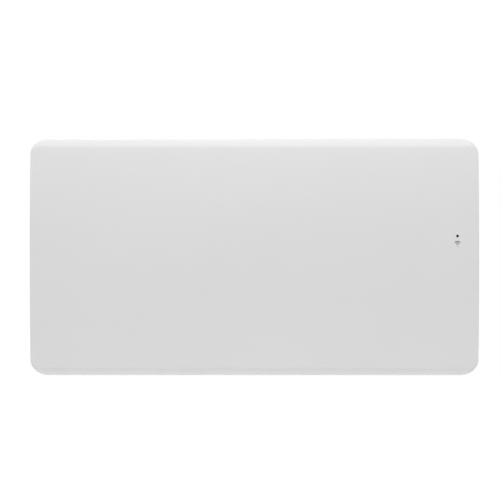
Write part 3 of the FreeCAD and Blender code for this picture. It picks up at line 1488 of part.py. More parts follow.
rivets = []
for x in bracket_x:
    for end in (-1, 1):
        for step in (-1, 1):
            rivet = new_body("rivet")
            rivet_x = f"({x} + {step} * dims.rivet_pitch / 2)"
            sketch = sketch_in(rivet, "top", f"({end} * dims.rail_rise)", (rivet_x, "0"))
            rivet_outline = [
                ("0", "0"),
                ("dims.rivet_radius", "0"),
                ("dims.rivet_radius", y(rail_out)),
                ("dims.rivet_head_radius", y(rail_out)),
                ("dims.rivet_head_radius * 0.6", y(f"{rail_out} + dims.rivet_head_height")),
                ("0", y(f"{rail_out} + dims.rivet_head_height")),
            ]
            outline(sketch, rivet_outline)
            revolve(rivet, sketch)
            rivets.append(rivet)
node(group("bracket_rivets", rivets), "bracket_rivets")

# Bracket locks: a slotted head on the shelf, a spindle and a cam tongue below, stored open


def bracket_lock(label, x):
    spindle_y = "-dims.spindle_out"
    cam_low = f"({shelf_low} - dims.fit_gap - dims.cam_height)"
    head_top = f"({bracket_top} + dims.lock_head_height)"
    slot_half = "dims.lock_slot_width / 2"
    cam_half = "dims.cam_width / 2"
    tongue_low = (f"{x} - {cam_half}", "-(dims.wall_gap - dims.cam_gap)", cam_low)
    tongue_high = (f"{x} + {cam_half}", spindle_y, f"{cam_low} + dims.cam_height")
    pieces = [
        post("lock_head", "z", (x, spindle_y, bracket_top), "dims.lock_head_radius", "dims.lock_head_height"),
        post("lock_spindle", "z", (x, spindle_y, cam_low), "dims.spindle_radius", f"{bracket_top} - {cam_low}"),
        post("lock_cam", "z", (x, spindle_y, cam_low), "dims.lock_head_radius", "dims.cam_height"),
        block("lock_tongue", tongue_low, tongue_high),
    ]
    slot_low = (f"{x} - {slot_half}", f"{spindle_y} - 2 * dims.lock_head_radius",
                f"{head_top} - dims.lock_slot_depth")
    slot_high = (f"{x} + {slot_half}", f"{spindle_y} + 2 * dims.lock_head_radius", f"{head_top} + {overcut}")
    slot = block("lock_slot", slot_low, slot_high)
    return node(cut(label, fuse(label + "_blank", pieces), slot), label)


bracket_lock("bracket_lock_left", bracket_x[0])
bracket_lock("bracket_lock_right", bracket_x[1])

# Catch plates: hooked plates on the casing back that the lock tongues hold


def catch_plate(name, x):
    body = new_body(name)
    sketch = sketch_in(body, "side", f"{x} + dims.catch_side")
    lip_inner = "(dims.spindle_out - dims.cam_width / 2 - dims.catch_gap)"
    lip_outer = f"({lip_inner} - dims.catch_sheet)"
    lip_top = f"({shelf_low} - dims.catch_gap)"
    arm_top = f"({catch_low} + dims.catch_sheet)"
    plate_out = f"({back_out} - dims.catch_sheet)"
    hook = [
        (y(back_out), catch_low),
        (y(lip_outer), catch_low),
        (y(lip_outer), lip_top),
        (y(lip_inner), lip_top),
        (y(lip_inner), arm_top),
        (y(plate_out), arm_top),
        (y(plate_out), f"{catch_low} + dims.catch_height"),
        (y(back_out), f"{catch_low} + dims.catch_height"),
    ]
    outline(sketch, hook)
    pad(body, sketch, "dims.catch_width")
    sketch = sketch_in(body, "front", plate_out)
    hole_z = f"({catch_low} + dims.catch_height - 2.5 * dims.screw_radius)"
    circle(sketch, f"({x} + dims.catch_side + dims.catch_width / 2)", hole_z, hole_radius)
    pocket(body, sketch, "dims.catch_sheet", True)
    return body


catches = [catch_plate("catch_left", bracket_x[0]), catch_plate("catch_right", bracket_x[1])]
node(group("catch_plates", catches), "catch_plates")

# Pivot stirrups and pins: the casing hangs by these in the bracket hooks

ear_radius = "(dims.pin_radius + dims.ear_edge)"
ear_inner = "(dims.tongue_width / 2 + dims.ear_gap)"
ear_outer = f"({ear_inner} + dims.ear_sheet)"


def pivot_stirrup(name, x):
    body = new_body(name)
    plate_out = f"({back_out} - dims.ear_sheet)"
    sketch = sketch_in(body, "front", plate_out)
    centred(sketch, x, pivot_z, "dims.stirrup_width", "dims.stirrup_height * 0.6")
    pad(body, sketch, "dims.ear_sheet")
    for side in (-1, 1):
        left = f"{x} - {ear_outer}" if side < 0 else f"{x} + {ear_inner}"
        sketch = sketch_in(body, "side", left)
        low = f"{pivot_z} - {ear_radius}"
        rectangle(sketch, y(back_out), low, y(pivot_out), f"{pivot_z} + {ear_radius}")
        pad(body, sketch, "dims.ear_sheet")
        sketch = sketch_in(body, "side", left)
        circle(sketch, y(pivot_out), pivot_z, ear_radius)
        pad(body, sketch, "dims.ear_sheet")
    sketch = sketch_in(body, "side", f"{x} - {ear_outer} - {overcut}")
    circle(sketch, y(pivot_out), pivot_z, "dims.pin_radius + dims.snug_gap")
    pocket(body, sketch, f"2 * ({ear_outer} + {overcut})", True)
    sketch = sketch_in(body, "front", plate_out)
    for end in (-1, 1):
        circle(sketch, f"({x} + {end} * dims.stirrup_width * 0.4)", pivot_z, hole_radius)
    pocket(body, sketch, "dims.ear_sheet", True)
    return body


stirrups = [pivot_stirrup("stirrup_left", bracket_x[0]), pivot_stirrup("stirrup_right", bracket_x[1])]
node(group("pivot_stirrups", stirrups), "pivot_stirrups")

pins = []
for x in bracket_x:
    pin_spot = (f"{x} - {ear_outer}", y(pivot_out), pivot_z)
    pins.append(post("pivot_pin", "x", pin_spot, "dims.pin_radius", f"2 * {ear_outer}"))
node(group("pivot_pins", pins), "pivot_pins")

# Wall bumpers: rubber feet on the casing back that rest against the top rail

bumpers = []
for side in (-1, 1):
    bumper = doc.addObject("Part::Cone", "bumper")
    bumper.Placement.Rotation = FreeCAD.Rotation(FreeCAD.Vector(1, 0, 0), -90)
    bind(bumper, Radius1="dims.bumper_radius", Radius2="dims.bumper_tip_radius")
    bind(bumper, Height=f"{back_out} - {rail_out} - dims.fit_gap")
    place(bumper, (f"{side} * dims.bumper_spread", y(back_out), "dims.rail_rise"))
    bumpers.append(bumper)
node(group("wall_bumpers", bumpers), "wall_bumpers")

# Screws: plain cylindrical heads and shanks


def screw(x, head_out, z, toward_front):
    seat = f"({head_out})"
    head_start = f"{seat} - dims.screw_head_height"
    head = post("screw_head", "y", (x, y(head_start), z), "dims.screw_head_radius", "dims.screw_head_height")
    shank = post("screw_shank", "y", (x, y(seat), z), "dims.screw_radius", toward_front)
    return fuse("screw", [head, shank])


rim_seat = f"{rim_out} - dims.casing_sheet"
rim_screws = [screw(x, rim_seat, z, "dims.screw_length") for x, z in rim_places]
node(group("rim_screws", rim_screws), "rim_screws")
back_screws = [screw(x, back_out, z, "dims.screw_length") for x, z in back_places]
node(group("back_screws", back_screws), "back_screws")
hanger_seat = f"{back_out} - dims.catch_sheet"
hanger_screws = [screw(x, hanger_seat, z, "dims.screw_length") for x, z in hanger_places]
node(group("hanger_screws", hanger_screws), "hanger_screws")

fascia_screws = []
for x in fascia_screw_places:
    shank_low = f"{fascia_top} - dims.fascia_screw_length"
    head = post("fascia_screw_head", "z", (x, key_y, fascia_top), "dims.fascia_screw_head", "dims.key_proud")
    shank = post("fascia_screw_shank", "z", (x, key_y, shank_low), "dims.fascia_screw_radius",
                 "dims.fascia_screw_length")
    fascia_screws.append(fuse("fascia_screw", [head, shank]))
node(group("fascia_screws", fascia_screws), "fascia_screws")

doc.recompute()
faults = [item.Name for item in doc.Objects if "Invalid" in item.State or "Error" in item.State]
for item in nodes:
    if item.Shape.isNull() or not item.Shape.isValid() or not item.Shape.Solids:
        faults.append(item.Label)
if faults:
    raise RuntimeError("not built: " + ", ".join(faults))
os.makedirs("parts", exist_ok=True)
for item in nodes:
    item.Shape.exportStep(f"parts/{item.Label}.step")
print(len(nodes), "nodes written")
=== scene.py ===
import bpy
import bmesh
import math
from mathutils import Matrix, Vector
from mathutils.bvhtree import BVHTree


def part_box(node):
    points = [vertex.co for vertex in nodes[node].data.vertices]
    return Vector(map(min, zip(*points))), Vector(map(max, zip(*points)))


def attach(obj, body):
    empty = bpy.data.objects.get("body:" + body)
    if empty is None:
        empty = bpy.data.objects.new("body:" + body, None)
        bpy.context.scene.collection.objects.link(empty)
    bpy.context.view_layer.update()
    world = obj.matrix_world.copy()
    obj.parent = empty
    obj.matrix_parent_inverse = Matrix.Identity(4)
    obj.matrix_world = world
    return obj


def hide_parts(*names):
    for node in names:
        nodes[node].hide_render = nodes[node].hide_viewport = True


# Wall-hung electric radiator with a bowed white front. Metres, Z up, the front faces -Y.
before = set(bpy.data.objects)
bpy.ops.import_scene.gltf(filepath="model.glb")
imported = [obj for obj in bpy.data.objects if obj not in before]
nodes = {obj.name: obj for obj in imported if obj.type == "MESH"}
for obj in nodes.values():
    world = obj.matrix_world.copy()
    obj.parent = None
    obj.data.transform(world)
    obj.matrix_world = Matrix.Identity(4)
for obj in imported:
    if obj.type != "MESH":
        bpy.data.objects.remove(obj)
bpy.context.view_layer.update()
scene = bpy.context.scene
mm = 0.001
print("frame loaded,", len(nodes), "nodes")


def linearRgb(hexText):
    channels = [int(hexText[i:i + 2], 16) / 255 for i in (1, 3, 5)]
    return tuple(c / 12.92 if c <= 0.04045 else ((c + 0.055) / 1.055) ** 2.4 for c in channels) + (1.0,)


def addNode(material, kind, sets=None, feeds=None):
    node = material.node_tree.nodes.new(kind)
    for name, value in (sets or {}).items():
        if isinstance(name, int) or name in node.inputs:
            node.inputs[name].default_value = value
        else:
            setattr(node, name, value)
    feedNode(material, node, feeds or {})
    return node


def feedNode(material, node, feeds):
    for name, source in feeds.items():
        material.node_tree.links.new(source, node.inputs[name])


def startFinish(name, shaderSets):
    material = bpy.data.materials.new(name)
    material.use_nodes = True
    material.node_tree.nodes.clear()
    shader = addNode(material, "ShaderNodeBsdfPrincipled", shaderSets)
    addNode(material, "ShaderNodeOutputMaterial", feeds={"Surface": shader.outputs["BSDF"]})
    spot = addNode(material, "ShaderNodeTexCoord").outputs["Object"]
    return material, shader, spot


noiseSpan = {"From Min": 0.3, "From Max": 0.7}  # where most values of a noise lie

plainLooks = {  # cloud, grain and relief in mm
    # sprayed and stoved powder coat on pressed steel: clean white, satin, a faint orange peel
    "panel_paint": {"name": "powder_coat_satin_stoved", "colours": ("#E9E9E9", "#E5E5E5"), "cloud": 260,
                    "grain": 5.0,  # real peel is 1.5 mm, drawn coarser
                    "roughness": (0.38, 0.46), "relief": 0.06, "strength": 0.6, "ior": 1.5},
    # textured powder coat on the pan behind: the same white, matt, with a dry pebbled skin
    "casing_paint": {"name": "powder_coat_textured_stoved", "colours": ("#E2E2E2", "#DCDCDC"), "cloud": 150,
                     "grain": 1.8,  # real grit is 0.6 mm, drawn coarser
                     "roughness": (0.58, 0.68), "relief": 0.06, "strength": 0.5, "ior": 1.5},
    # injection moulded ABS from a spark-eroded mould: even white with a soft grain
    "grille_plastic": {"name": "abs_white_spark_eroded", "colours": ("#E9E9E8", "#E3E3E2"), "cloud": 60,
                       "grain": 1.2, "roughness": (0.46, 0.56), "relief": 0.03, "strength": 0.4, "ior": 1.54},
    # the control unit's ABS, coloured light grey, finer grain
    "control_plastic": {"name": "abs_grey_spark_eroded", "colours": ("#D3D3D5", "#CBCBCE"), "cloud": 40,
                        "grain": 0.9, "roughness": (0.44, 0.54), "relief": 0.025, "strength": 0.4, "ior": 1.54},
    # key caps from a polished mould: white with a soft shine
    "key_plastic": {"name": "abs_white_polished_mould", "colours": ("#F0F0EE", "#E9E9E7"), "cloud": 12,
                    "grain": 3.0, "roughness": (0.26, 0.32), "relief": 0.004, "strength": 0.2, "ior": 1.54},
    # black frame of the display, moulded matt
    "display_plastic": {"name": "abs_black_matt_moulded", "colours": ("#1A1C1A", "#141614"), "cloud": 20,
                        "grain": 0.8, "roughness": (0.5, 0.6), "relief": 0.02, "strength": 0.4, "ior": 1.54},
    # phenolic and epoxy bodies of the electric parts: near black, dull
    "component_plastic": {"name": "phenolic_black_moulded", "colours": ("#141416", "#0E0E10"), "cloud": 15,
                          "grain": 0.9, "roughness": (0.5, 0.62), "relief": 0.02, "strength": 0.4, "ior": 1.6},
    # flame-proof polyamide of the power box: pale grey with flow marks
    "box_plastic": {"name": "polyamide_grey_moulded", "colours": ("#C4C4C2", "#B8B8B5"), "cloud": 35,
                    "grain": 1.0, "roughness": (0.5, 0.62), "relief": 0.03, "strength": 0.4, "ior": 1.53},
    # natural polyamide of the terminal strip: creamy and slightly waxy
    "terminal_plastic": {"name": "polyamide_natural_moulded", "colours": ("#DAD6C9", "#CFCABB"), "cloud": 14,
                         "grain": 0.9, "roughness": (0.38, 0.48), "relief": 0.02, "strength": 0.3, "ior": 1.53},
    # black polyamide of gland, nut and switch: dull with a fine spark grain
    "black_plastic": {"name": "polyamide_black_moulded", "colours": ("#17171A", "#101012"), "cloud": 18,
                      "grain": 0.8, "roughness": (0.42, 0.54), "relief": 0.02, "strength": 0.4, "ior": 1.53},
    # rocker from a polished mould: black with a clear shine
    "rocker_plastic": {"name": "polycarbonate_black_polished", "colours": ("#18181B", "#121214"), "cloud": 10,
                       "grain": 1.0, "roughness": (0.14, 0.22), "relief": 0.006, "strength": 0.3, "ior": 1.585},
    # infrared window: black acrylic, polished
    "lens_plastic": {"name": "acrylic_black_polished", "colours": ("#161618", "#101012"), "cloud": 5,
                     "grain": 0.8, "roughness": (0.06, 0.12), "relief": 0.003, "strength": 0.2, "ior": 1.49},
    # pressed steatite bushes: chalky off-white, dull
    "bush_ceramic": {"name": "steatite_pressed_unglazed", "colours": ("#E9E3D8", "#DDD6C8"), "cloud": 6,
                     "grain": 0.7, "roughness": (0.66, 0.78), "relief": 0.04, "strength": 0.5, "ior": 1.6},
    # silicone insulation, extruded: soft dull white
    "lead_insulation": {"name": "silicone_white_extruded", "colours": ("#D9D8D3", "#CCCBC4"), "cloud": 25,
                        "grain": 1.2, "roughness": (0.5, 0.6), "relief": 0.02, "strength": 0.3, "ior": 1.43},
    # moulded rubber of the wall bumpers: black, dry, a little dusty
    "bumper_rubber": {"name": "rubber_black_moulded", "colours": ("#1B1B1B", "#262625"), "cloud": 7,
                      "grain": 0.8, "roughness": (0.68, 0.82), "relief": 0.05, "strength": 0.5, "ior": 1.52},
    # painted steel of the wall bracket: plain white paint, slightly uneven
    "bracket_steel": {"name": "stoved_paint_white_sheet", "colours": ("#DEDEDE", "#D5D5D5"), "cloud": 90,
                      "grain": 2.5, "roughness": (0.4, 0.5), "relief": 0.03, "strength": 0.35, "ior": 1.5},
}


def plainFinish(look):  # cloudy colour, uneven gloss and a fine grain, each at its own size
    material, shader, spot = startFinish(look["name"], {"IOR": look["ior"]})
    colour, shade = map(linearRgb, look["colours"])
    smooth, rough = look["roughness"]
    cloud = addNode(material, "ShaderNodeTexNoise", {"Scale": 1 / (look["cloud"] * mm), "Detail": 3.0},
                    {"Vector": spot})
    grain = addNode(material, "ShaderNodeTexNoise", {"Scale": 1 / (look["grain"] * mm), "Detail": 2.0},
                    {"Vector": spot})
    tone = addNode(material, "ShaderNodeMix", {"data_type": "RGBA", 6: colour, 7: shade},
                   {0: cloud.outputs["Fac"]})
    gloss = addNode(material, "ShaderNodeMapRange", {**noiseSpan, "To Min": smooth, "To Max": rough},
                    {"Value": grain.outputs["Fac"]})
    relief = addNode(material, "ShaderNodeBump", {"Distance": look["relief"] * mm, "Strength": look["strength"]},
                     {"Height": grain.outputs["Fac"]})
    feedNode(material, shader, {"Base Color": tone.outputs[2], "Roughness": gloss.outputs["Result"],
                                "Normal": relief.outputs["Normal"]})
    return material


# smoked polycarbonate over the display: dark, clear, mirror smooth with faint moulding waves
windowLook = {"colour": "#4A4E52", "wave": 9, "relief": 0.01, "strength": 0.15, "ior": 1.585, "roughness": 0.04}


def smokedPolycarbonate():
    material, shader, spot = startFinish("polycarbonate_smoked_polished", {
        "Base Color": linearRgb(windowLook["colour"]), "IOR": windowLook["ior"],
        "Roughness": windowLook["roughness"], "Transmission Weight": 1.0})
    wave = addNode(material, "ShaderNodeTexNoise", {"Scale": 1 / (windowLook["wave"] * mm)}, {"Vector": spot})
    relief = addNode(material, "ShaderNodeBump", {"Distance": windowLook["relief"] * mm,
                                                  "Strength": windowLook["strength"]},
                     {"Height": wave.outputs["Fac"]})
    feedNode(material, shader, {"Normal": relief.outputs["Normal"]})
    return material


# glass-epoxy board under green solder mask: woven ground, copper tracks showing paler
boardLook = {"mask": ("#1C5A32", "#174E2B"), "cloud": 8, "track": "#2E7A48", "trackCell": 4.8,
             "trackEdge": (0.05, 0.09), "thread": 2.4,  # real thread is 0.6 mm, drawn coarser
             "roughness": (0.3, 0.42), "relief": 0.035, "strength": 0.5}


def solderMaskBoard():
    material, shader, spot = startFinish("glass_epoxy_solder_mask", {"IOR": 1.55})
    colour, shade = map(linearRgb, boardLook["mask"])
    smooth, rough = boardLook["roughness"]
    inner, outer = boardLook["trackEdge"]
    cloud = addNode(material, "ShaderNodeTexNoise", {"Scale": 1 / (boardLook["cloud"] * mm)}, {"Vector": spot})
    ground = addNode(material, "ShaderNodeMix", {"data_type": "RGBA", 6: colour, 7: shade},
                     {0: cloud.outputs["Fac"]})
    tracks = addNode(material, "ShaderNodeTexVoronoi", {"feature": "DISTANCE_TO_EDGE", "distance": "MANHATTAN",
                                                        "Scale": 1 / (boardLook["trackCell"] * mm)},
                     {"Vector": spot})
    edge = addNode(material, "ShaderNodeMapRange", {"From Min": inner, "From Max": outer, "To Min": 1.0,
                                                    "To Max": 0.0}, {"Value": tracks.outputs["Distance"]})
    tone = addNode(material, "ShaderNodeMix", {"data_type": "RGBA", 7: linearRgb(boardLook["track"])},
                   {0: edge.outputs["Result"], 6: ground.outputs[2]})
    weave = addNode(material, "ShaderNodeTexWave", {"Scale": 1 / (boardLook["thread"] * mm)}, {"Vector": spot})
    gloss = addNode(material, "ShaderNodeMapRange", {"To Min": smooth, "To Max": rough},
                    {"Value": weave.outputs["Fac"]})
    relief = addNode(material, "ShaderNodeBump", {"Distance": boardLook["relief"] * mm,
                                                  "Strength": boardLook["strength"]},
                     {"Height": edge.outputs["Result"]})
    feedNode(material, shader, {"Base Color": tone.outputs[2], "Roughness": gloss.outputs["Result"],
                                "Normal": relief.outputs["Normal"]})
    return material


# laminated heating film: amber polyimide with darker printed heating lines
filmLook = {"amber": ("#A8631B", "#8E4F12"), "cloud": 50, "line": "#3A2A1C", "linePitch": 8.0,
            "lineEdge": (0.45, 0.55), "roughness": (0.25, 0.45)}


def polyimideFilm():
    material, shader, spot = startFinish("polyimide_film_printed", {"IOR": 1.7})
    colour, shade = map(linearRgb, filmLook["amber"])
    smooth, rough = filmLook["roughness"]
    inner, outer = filmLook["lineEdge"]
    period = math.pi / 10  # of a wave texture at scale 1
    cloud = addNode(material, "ShaderNodeTexNoise", {"Scale": 1 / (filmLook["cloud"] * mm)}, {"Vector": spot})
    ground = addNode(material, "ShaderNodeMix", {"data_type": "RGBA", 6: colour, 7: shade},
                     {0: cloud.outputs["Fac"]})
    lines = addNode(material, "ShaderNodeTexWave", {"bands_direction": "Z",
                                                    "Scale": period / (filmLook["linePitch"] * mm)},
                    {"Vector": spot})
    edge = addNode(material, "ShaderNodeMapRange", {"From Min": inner, "From Max": outer},
                   {"Value": lines.outputs["Fac"]})
    tone = addNode(material, "ShaderNodeMix", {"data_type": "RGBA", 7: linearRgb(filmLook["line"])},
                   {0: edge.outputs["Result"], 6: ground.outputs[2]})
    gloss = addNode(material, "ShaderNodeMapRange", {"To Min": smooth, "To Max": rough},
                    {"Value": edge.outputs["Result"]})
    feedNode(material, shader, {"Base Color": tone.outputs[2], "Roughness": gloss.outputs["Result"]})
    return material


# extruded aluminium as it left the die: pale metal with long fine die lines along the length
extrusionLook = {"colours": ("#C9CACC", "#BDBEC1"), "line": 0.8, "stretch": 0.004, "roughness": (0.3, 0.48),
                 "relief": 0.02, "strength": 0.5}


def extrudedAluminium():
    material, shader, spot = startFinish("aluminium_extruded_raw", {"Metallic": 1.0})
    colour, shade = map(linearRgb, extrusionLook["colours"])
    smooth, rough = extrusionLook["roughness"]
    drawn = addNode(material, "ShaderNodeMapping", {"Scale": (extrusionLook["stretch"], 1.0, 1.0)},
                    {"Vector": spot})
    lines = addNode(material, "ShaderNodeTexNoise", {"Scale": 1 / (extrusionLook["line"] * mm), "Detail": 3.0},
                    {"Vector": drawn.outputs["Vector"]})
    tone = addNode(material, "ShaderNodeMix", {"data_type": "RGBA", 6: colour, 7: shade},
                   {0: lines.outputs["Fac"]})
    gloss = addNode(material, "ShaderNodeMapRange", {**noiseSpan, "To Min": smooth, "To Max": rough},
                    {"Value": lines.outputs["Fac"]})
    relief = addNode(material, "ShaderNodeBump", {"Distance": extrusionLook["relief"] * mm,
                                                  "Strength": extrusionLook["strength"]},
                     {"Height": lines.outputs["Fac"]})
    feedNode(material, shader, {"Base Color": tone.outputs[2], "Roughness": gloss.outputs["Result"],
                                "Normal": relief.outputs["Normal"]})
    return material


# stainless heater sheath, annealed: dull metal with straw and violet heat tint
sheathLook = {"colours": ("#8B8682", "#7A6A58"), "tint": "#6B5F6E", "tintEdge": (0.52, 0.66), "band": 30,
              "roughness": (0.36, 0.5)}


def annealedSheath():
    material, shader, spot = startFinish("stainless_tube_annealed", {"Metallic": 1.0})
    colour, shade = map(linearRgb, sheathLook["colours"])
    smooth, rough = sheathLook["roughness"]
    inner, outer = sheathLook["tintEdge"]
    cloud = addNode(material, "ShaderNodeTexNoise", {"Scale": 1 / (sheathLook["band"] * mm), "Detail": 3.0},
                    {"Vector": spot})
    steel = addNode(material, "ShaderNodeMix", {"data_type": "RGBA", 6: colour, 7: shade},
                    {0: cloud.outputs["Fac"]})
    patch = addNode(material, "ShaderNodeMapRange", {"From Min": inner, "From Max": outer},
                    {"Value": cloud.outputs["Fac"]})
    tone = addNode(material, "ShaderNodeMix", {"data_type": "RGBA", 7: linearRgb(sheathLook["tint"])},
                   {0: patch.outputs["Result"], 6: steel.outputs[2]})
    gloss = addNode(material, "ShaderNodeMapRange", {"To Min": smooth, "To Max": rough},
                    {"Value": cloud.outputs["Fac"]})
    feedNode(material, shader, {"Base Color": tone.outputs[2], "Roughness": gloss.outputs["Result"]})
    return material


# hot-dip galvanised sheet: frosty crystals of slightly different grey
spangleLook = {"colours": ("#BFC2C5", "#A6AAAE"), "crystal": 9, "bend": 4, "roughness": (0.3, 0.5)}


def galvanisedSheet():
    material, shader, spot = startFinish("steel_hot_dip_galvanised", {"Metallic": 1.0})
    colour, shade = map(linearRgb, spangleLook["colours"])
    smooth, rough = spangleLook["roughness"]
    bent = addNode(material, "ShaderNodeTexNoise", {"Scale": 1 / (spangleLook["crystal"] * mm)},
                   {"Vector": spot})
    moved = addNode(material, "ShaderNodeVectorMath", {"operation": "MULTIPLY_ADD",
                                                       1: (spangleLook["bend"] * mm,) * 3},
                    {0: bent.outputs["Color"], 2: spot})
    crystal = addNode(material, "ShaderNodeTexVoronoi", {"Scale": 1 / (spangleLook["crystal"] * mm)},
                      {"Vector": moved.outputs["Vector"]})
    chance = addNode(material, "ShaderNodeSeparateColor", feeds={"Color": crystal.outputs["Color"]})
    tone = addNode(material, "ShaderNodeMix", {"data_type": "RGBA", 6: colour, 7: shade},
                   {0: chance.outputs["Red"]})
    gloss = addNode(material, "ShaderNodeMapRange", {"To Min": smooth, "To Max": rough},
                    {"Value": chance.outputs["Green"]})
    feedNode(material, shader, {"Base Color": tone.outputs[2], "Roughness": gloss.outputs["Result"]})
    return material


# zinc-plated small steel: bright, bluish, with fine turning marks
zincLook = {"colours": ("#C6CACF", "#B2B6BB"), "mark": 1.2, "roughness": (0.22, 0.36)}


def zincPlate():
    material, shader, spot = startFinish("steel_zinc_plated", {"Metallic": 1.0})
    colour, shade = map(linearRgb, zincLook["colours"])
    smooth, rough = zincLook["roughness"]
    marks = addNode(material, "ShaderNodeTexNoise", {"Scale": 1 / (zincLook["mark"] * mm), "Detail": 2.0},
                    {"Vector": spot})
    tone = addNode(material, "ShaderNodeMix", {"data_type": "RGBA", 6: colour, 7: shade},
                   {0: marks.outputs["Fac"]})
    gloss = addNode(material, "ShaderNodeMapRange", {"To Min": smooth, "To Max": rough},
                    {"Value": marks.outputs["Fac"]})
    feedNode(material, shader, {"Base Color": tone.outputs[2], "Roughness": gloss.outputs["Result"]})
    return material


finishes = {slot: plainFinish(look) for slot, look in plainLooks.items()}
finishes["window_clear"] = smokedPolycarbonate()
finishes["board"] = solderMaskBoard()
finishes["film"] = polyimideFilm()
finishes["extruded_aluminium"] = extrudedAluminium()
finishes["sheath_steel"] = annealedSheath()
finishes["galvanised"] = galvanisedSheet()
finishes["zinc"] = zincPlate()

for node in nodes.values():  # each node's slot already has the record's name
    for holder in node.material_slots:
        holder.material = finishes[holder.material.name.split(".")[0]]
print("finishes:", len(finishes))


# how near points count as one, in mm: between a node's faces, along a cut and in a printed mark
weldLook = {"node": 0.01, "cut": 0.002, "mark": 0.001}


def toMesh(builder, name):
    mesh = bpy.data.meshes.new(name)
    builder.to_mesh(mesh)
    builder.free()
    return mesh


def boxOf(points):  # lowest and highest corner
    return [Vector([pick(p[i] for p in points) for i in range(3)]) for pick in (min, max)]


def quarterTurns(steps):
    return [math.pi / 2 * i / steps for i in range(steps + 1)]


def solidsOf(node):  # corner points of each separate solid of a node
    mesh = nodes[node].data
    keys = [tuple(round(c / (weldLook["node"] * mm)) for c in p.co) for p in mesh.vertices]
    leader = {key: key for key in keys}

    def first(key):
        while leader[key] != key:
            leader[key] = leader[leader[key]]
            key = leader[key]
        return key

    for face in mesh.polygons:
        head = first(keys[face.vertices[0]])
        for i in face.vertices:
            leader[first(keys[i])] = head
    found = {}
    for point, key in zip(mesh.vertices, keys):
        found.setdefault(first(key), []).append(point.co.copy())
    return list(found.values())


def measureScrew(points):  # seat under the head, outward axis and sizes of one screw
    low, high = boxOf(points)
    size = high - low
    k = max(range(3), key=lambda i: size[i])
    middle = (low + high) / 2

    def radius(p):
        return math.hypot(*[p[i] - middle[i] for i in range(3) if i != k])

    headRadius = max(radius(p) for p in points)
    headEnds = [p[k] for p in points if radius(p) > 0.9 * headRadius]  # along the axis, at the head's edge
    sign = 1 if sum(headEnds) / len(headEnds) > middle[k] else -1
    top, tip = (high[k], low[k]) if sign > 0 else (low[k], high[k])
    shankRadius = max(radius(p) for p in points if abs(p[k] - tip) < weldLook["node"] * mm)
    under = min(headEnds, key=lambda c: c * sign)
    axis = Vector([sign if i == k else 0 for i in range(3)])
    seat = Vector([under if i == k else middle[i] for i in range(3)])
    return seat, axis, {"headRadius": headRadius, "headHeight": abs(top - under), "shankRadius": shankRadius,
                        "shankLength": abs(under - tip)}


def loftRings(builder, rings, closed=False):  # faces between neighbouring rings; a ring of one point is a pole
    rows = [[builder.verts.new(point) for point in ring] for ring in rings]
    count = max(len(row) for row in rows)
    for outer, inner in zip(rows, rows[1:] + rows[:1] if closed else rows[1:]):
        for i in range(count):
            j = (i + 1) % count
            corners = (outer[i % len(outer)], inner[i % len(inner)], inner[j % len(inner)], outer[j % len(outer)])
            builder.faces.new(list(dict.fromkeys(corners)))
    return rows


def capRings(builder, rings):  # closed solid through the rings
    rows = loftRings(builder, rings)
    for cap in (rows[0], rows[-1]):
        builder.faces.new(cap)
    bmesh.ops.recalc_face_normals(builder, faces=builder.faces)


def turnedMesh(name, profile, segments, bored=False):  # closed solid about Z; bored: the profile is a loop
    turns = [2 * math.pi * i / segments for i in range(segments)]
    rings = [[(radius * math.cos(turn), radius * math.sin(turn), z) for turn in (turns if radius else turns[:1])]
             for radius, z in profile]
    solid = bmesh.new()
    loftRings(solid, rings, bored)
    bmesh.ops.recalc_face_normals(solid, faces=solid.faces)
    return toMesh(solid, name)


def addRod(builder, radius, length, segments, place):  # along Z before it is placed
    bmesh.ops.create_cone(builder, cap_ends=True, segments=segments, radius1=radius, radius2=radius, depth=length,
                          matrix=place)


def joinCopy(joined, mesh, place):  # the loose copy is used up
    mesh.transform(place)
    joined.from_mesh(mesh)
    bpy.data.meshes.remove(mesh)


def cutAway(mesh, cutterMesh, sheet=0.0):  # the mesh, thickened inwards to a sheet if asked, less the cutter
    blank = bpy.data.objects.new("blank", mesh)
    cutter = bpy.data.objects.new("cutter", cutterMesh)
    for piece in (blank, cutter):
        scene.collection.objects.link(piece)
    if sheet:
        skin = blank.modifiers.new("sheet", "SOLIDIFY")
        skin.thickness, skin.offset, skin.use_even_offset = sheet, -1.0, True
    hole = blank.modifiers.new("hole", "BOOLEAN")
    hole.operation, hole.solver, hole.object, hole.use_self = "DIFFERENCE", "EXACT", cutter, True
    made = bpy.data.meshes.new_from_object(blank.evaluated_get(bpy.context.evaluated_depsgraph_get()))
    for piece in (blank, cutter):
        bpy.data.objects.remove(piece)
    clean = bmesh.new()  # slivers along the cut go
    clean.from_mesh(made)
    bmesh.ops.remove_doubles(clean, verts=clean.verts, dist=weldLook["cut"] * mm)
    bmesh.ops.dissolve_degenerate(clean, edges=clean.edges, dist=weldLook["cut"] * mm)
    clean.to_mesh(made)
    clean.free()
    return made


def addPiece(name, mesh, finish, sharpAngle=32):
    mesh.name = name
    mesh.shade_smooth()
    mesh.set_sharp_from_angle(angle=math.radians(sharpAngle))
    mesh.materials.clear()
    mesh.materials.append(finish)
    piece = bpy.data.objects.new(name, mesh)
    scene.collection.objects.link(piece)
    return piece


# bowed front pressing, sizes in mm: the edge roll is full above and below and dies away round the corners to a
# tight fold; pinch is how far the rings on the front draw in sideways
pressLook = {"bow": 14.0, "corner": 40.0, "roll": 26.0, "fold": 2.0, "heel": 2.0, "lip": 15.0, "sheet": 1.2,
             "lensHole": 3.45, "screwPlay": 0.15, "holeDepth": 10.0, "holeSegments": 48, "pinch": 0.8,
             "topSteps": 60, "endSteps": 20, "cornerSteps": 18, "heelSteps": 4, "rollSteps": 12, "frontSteps": 14}


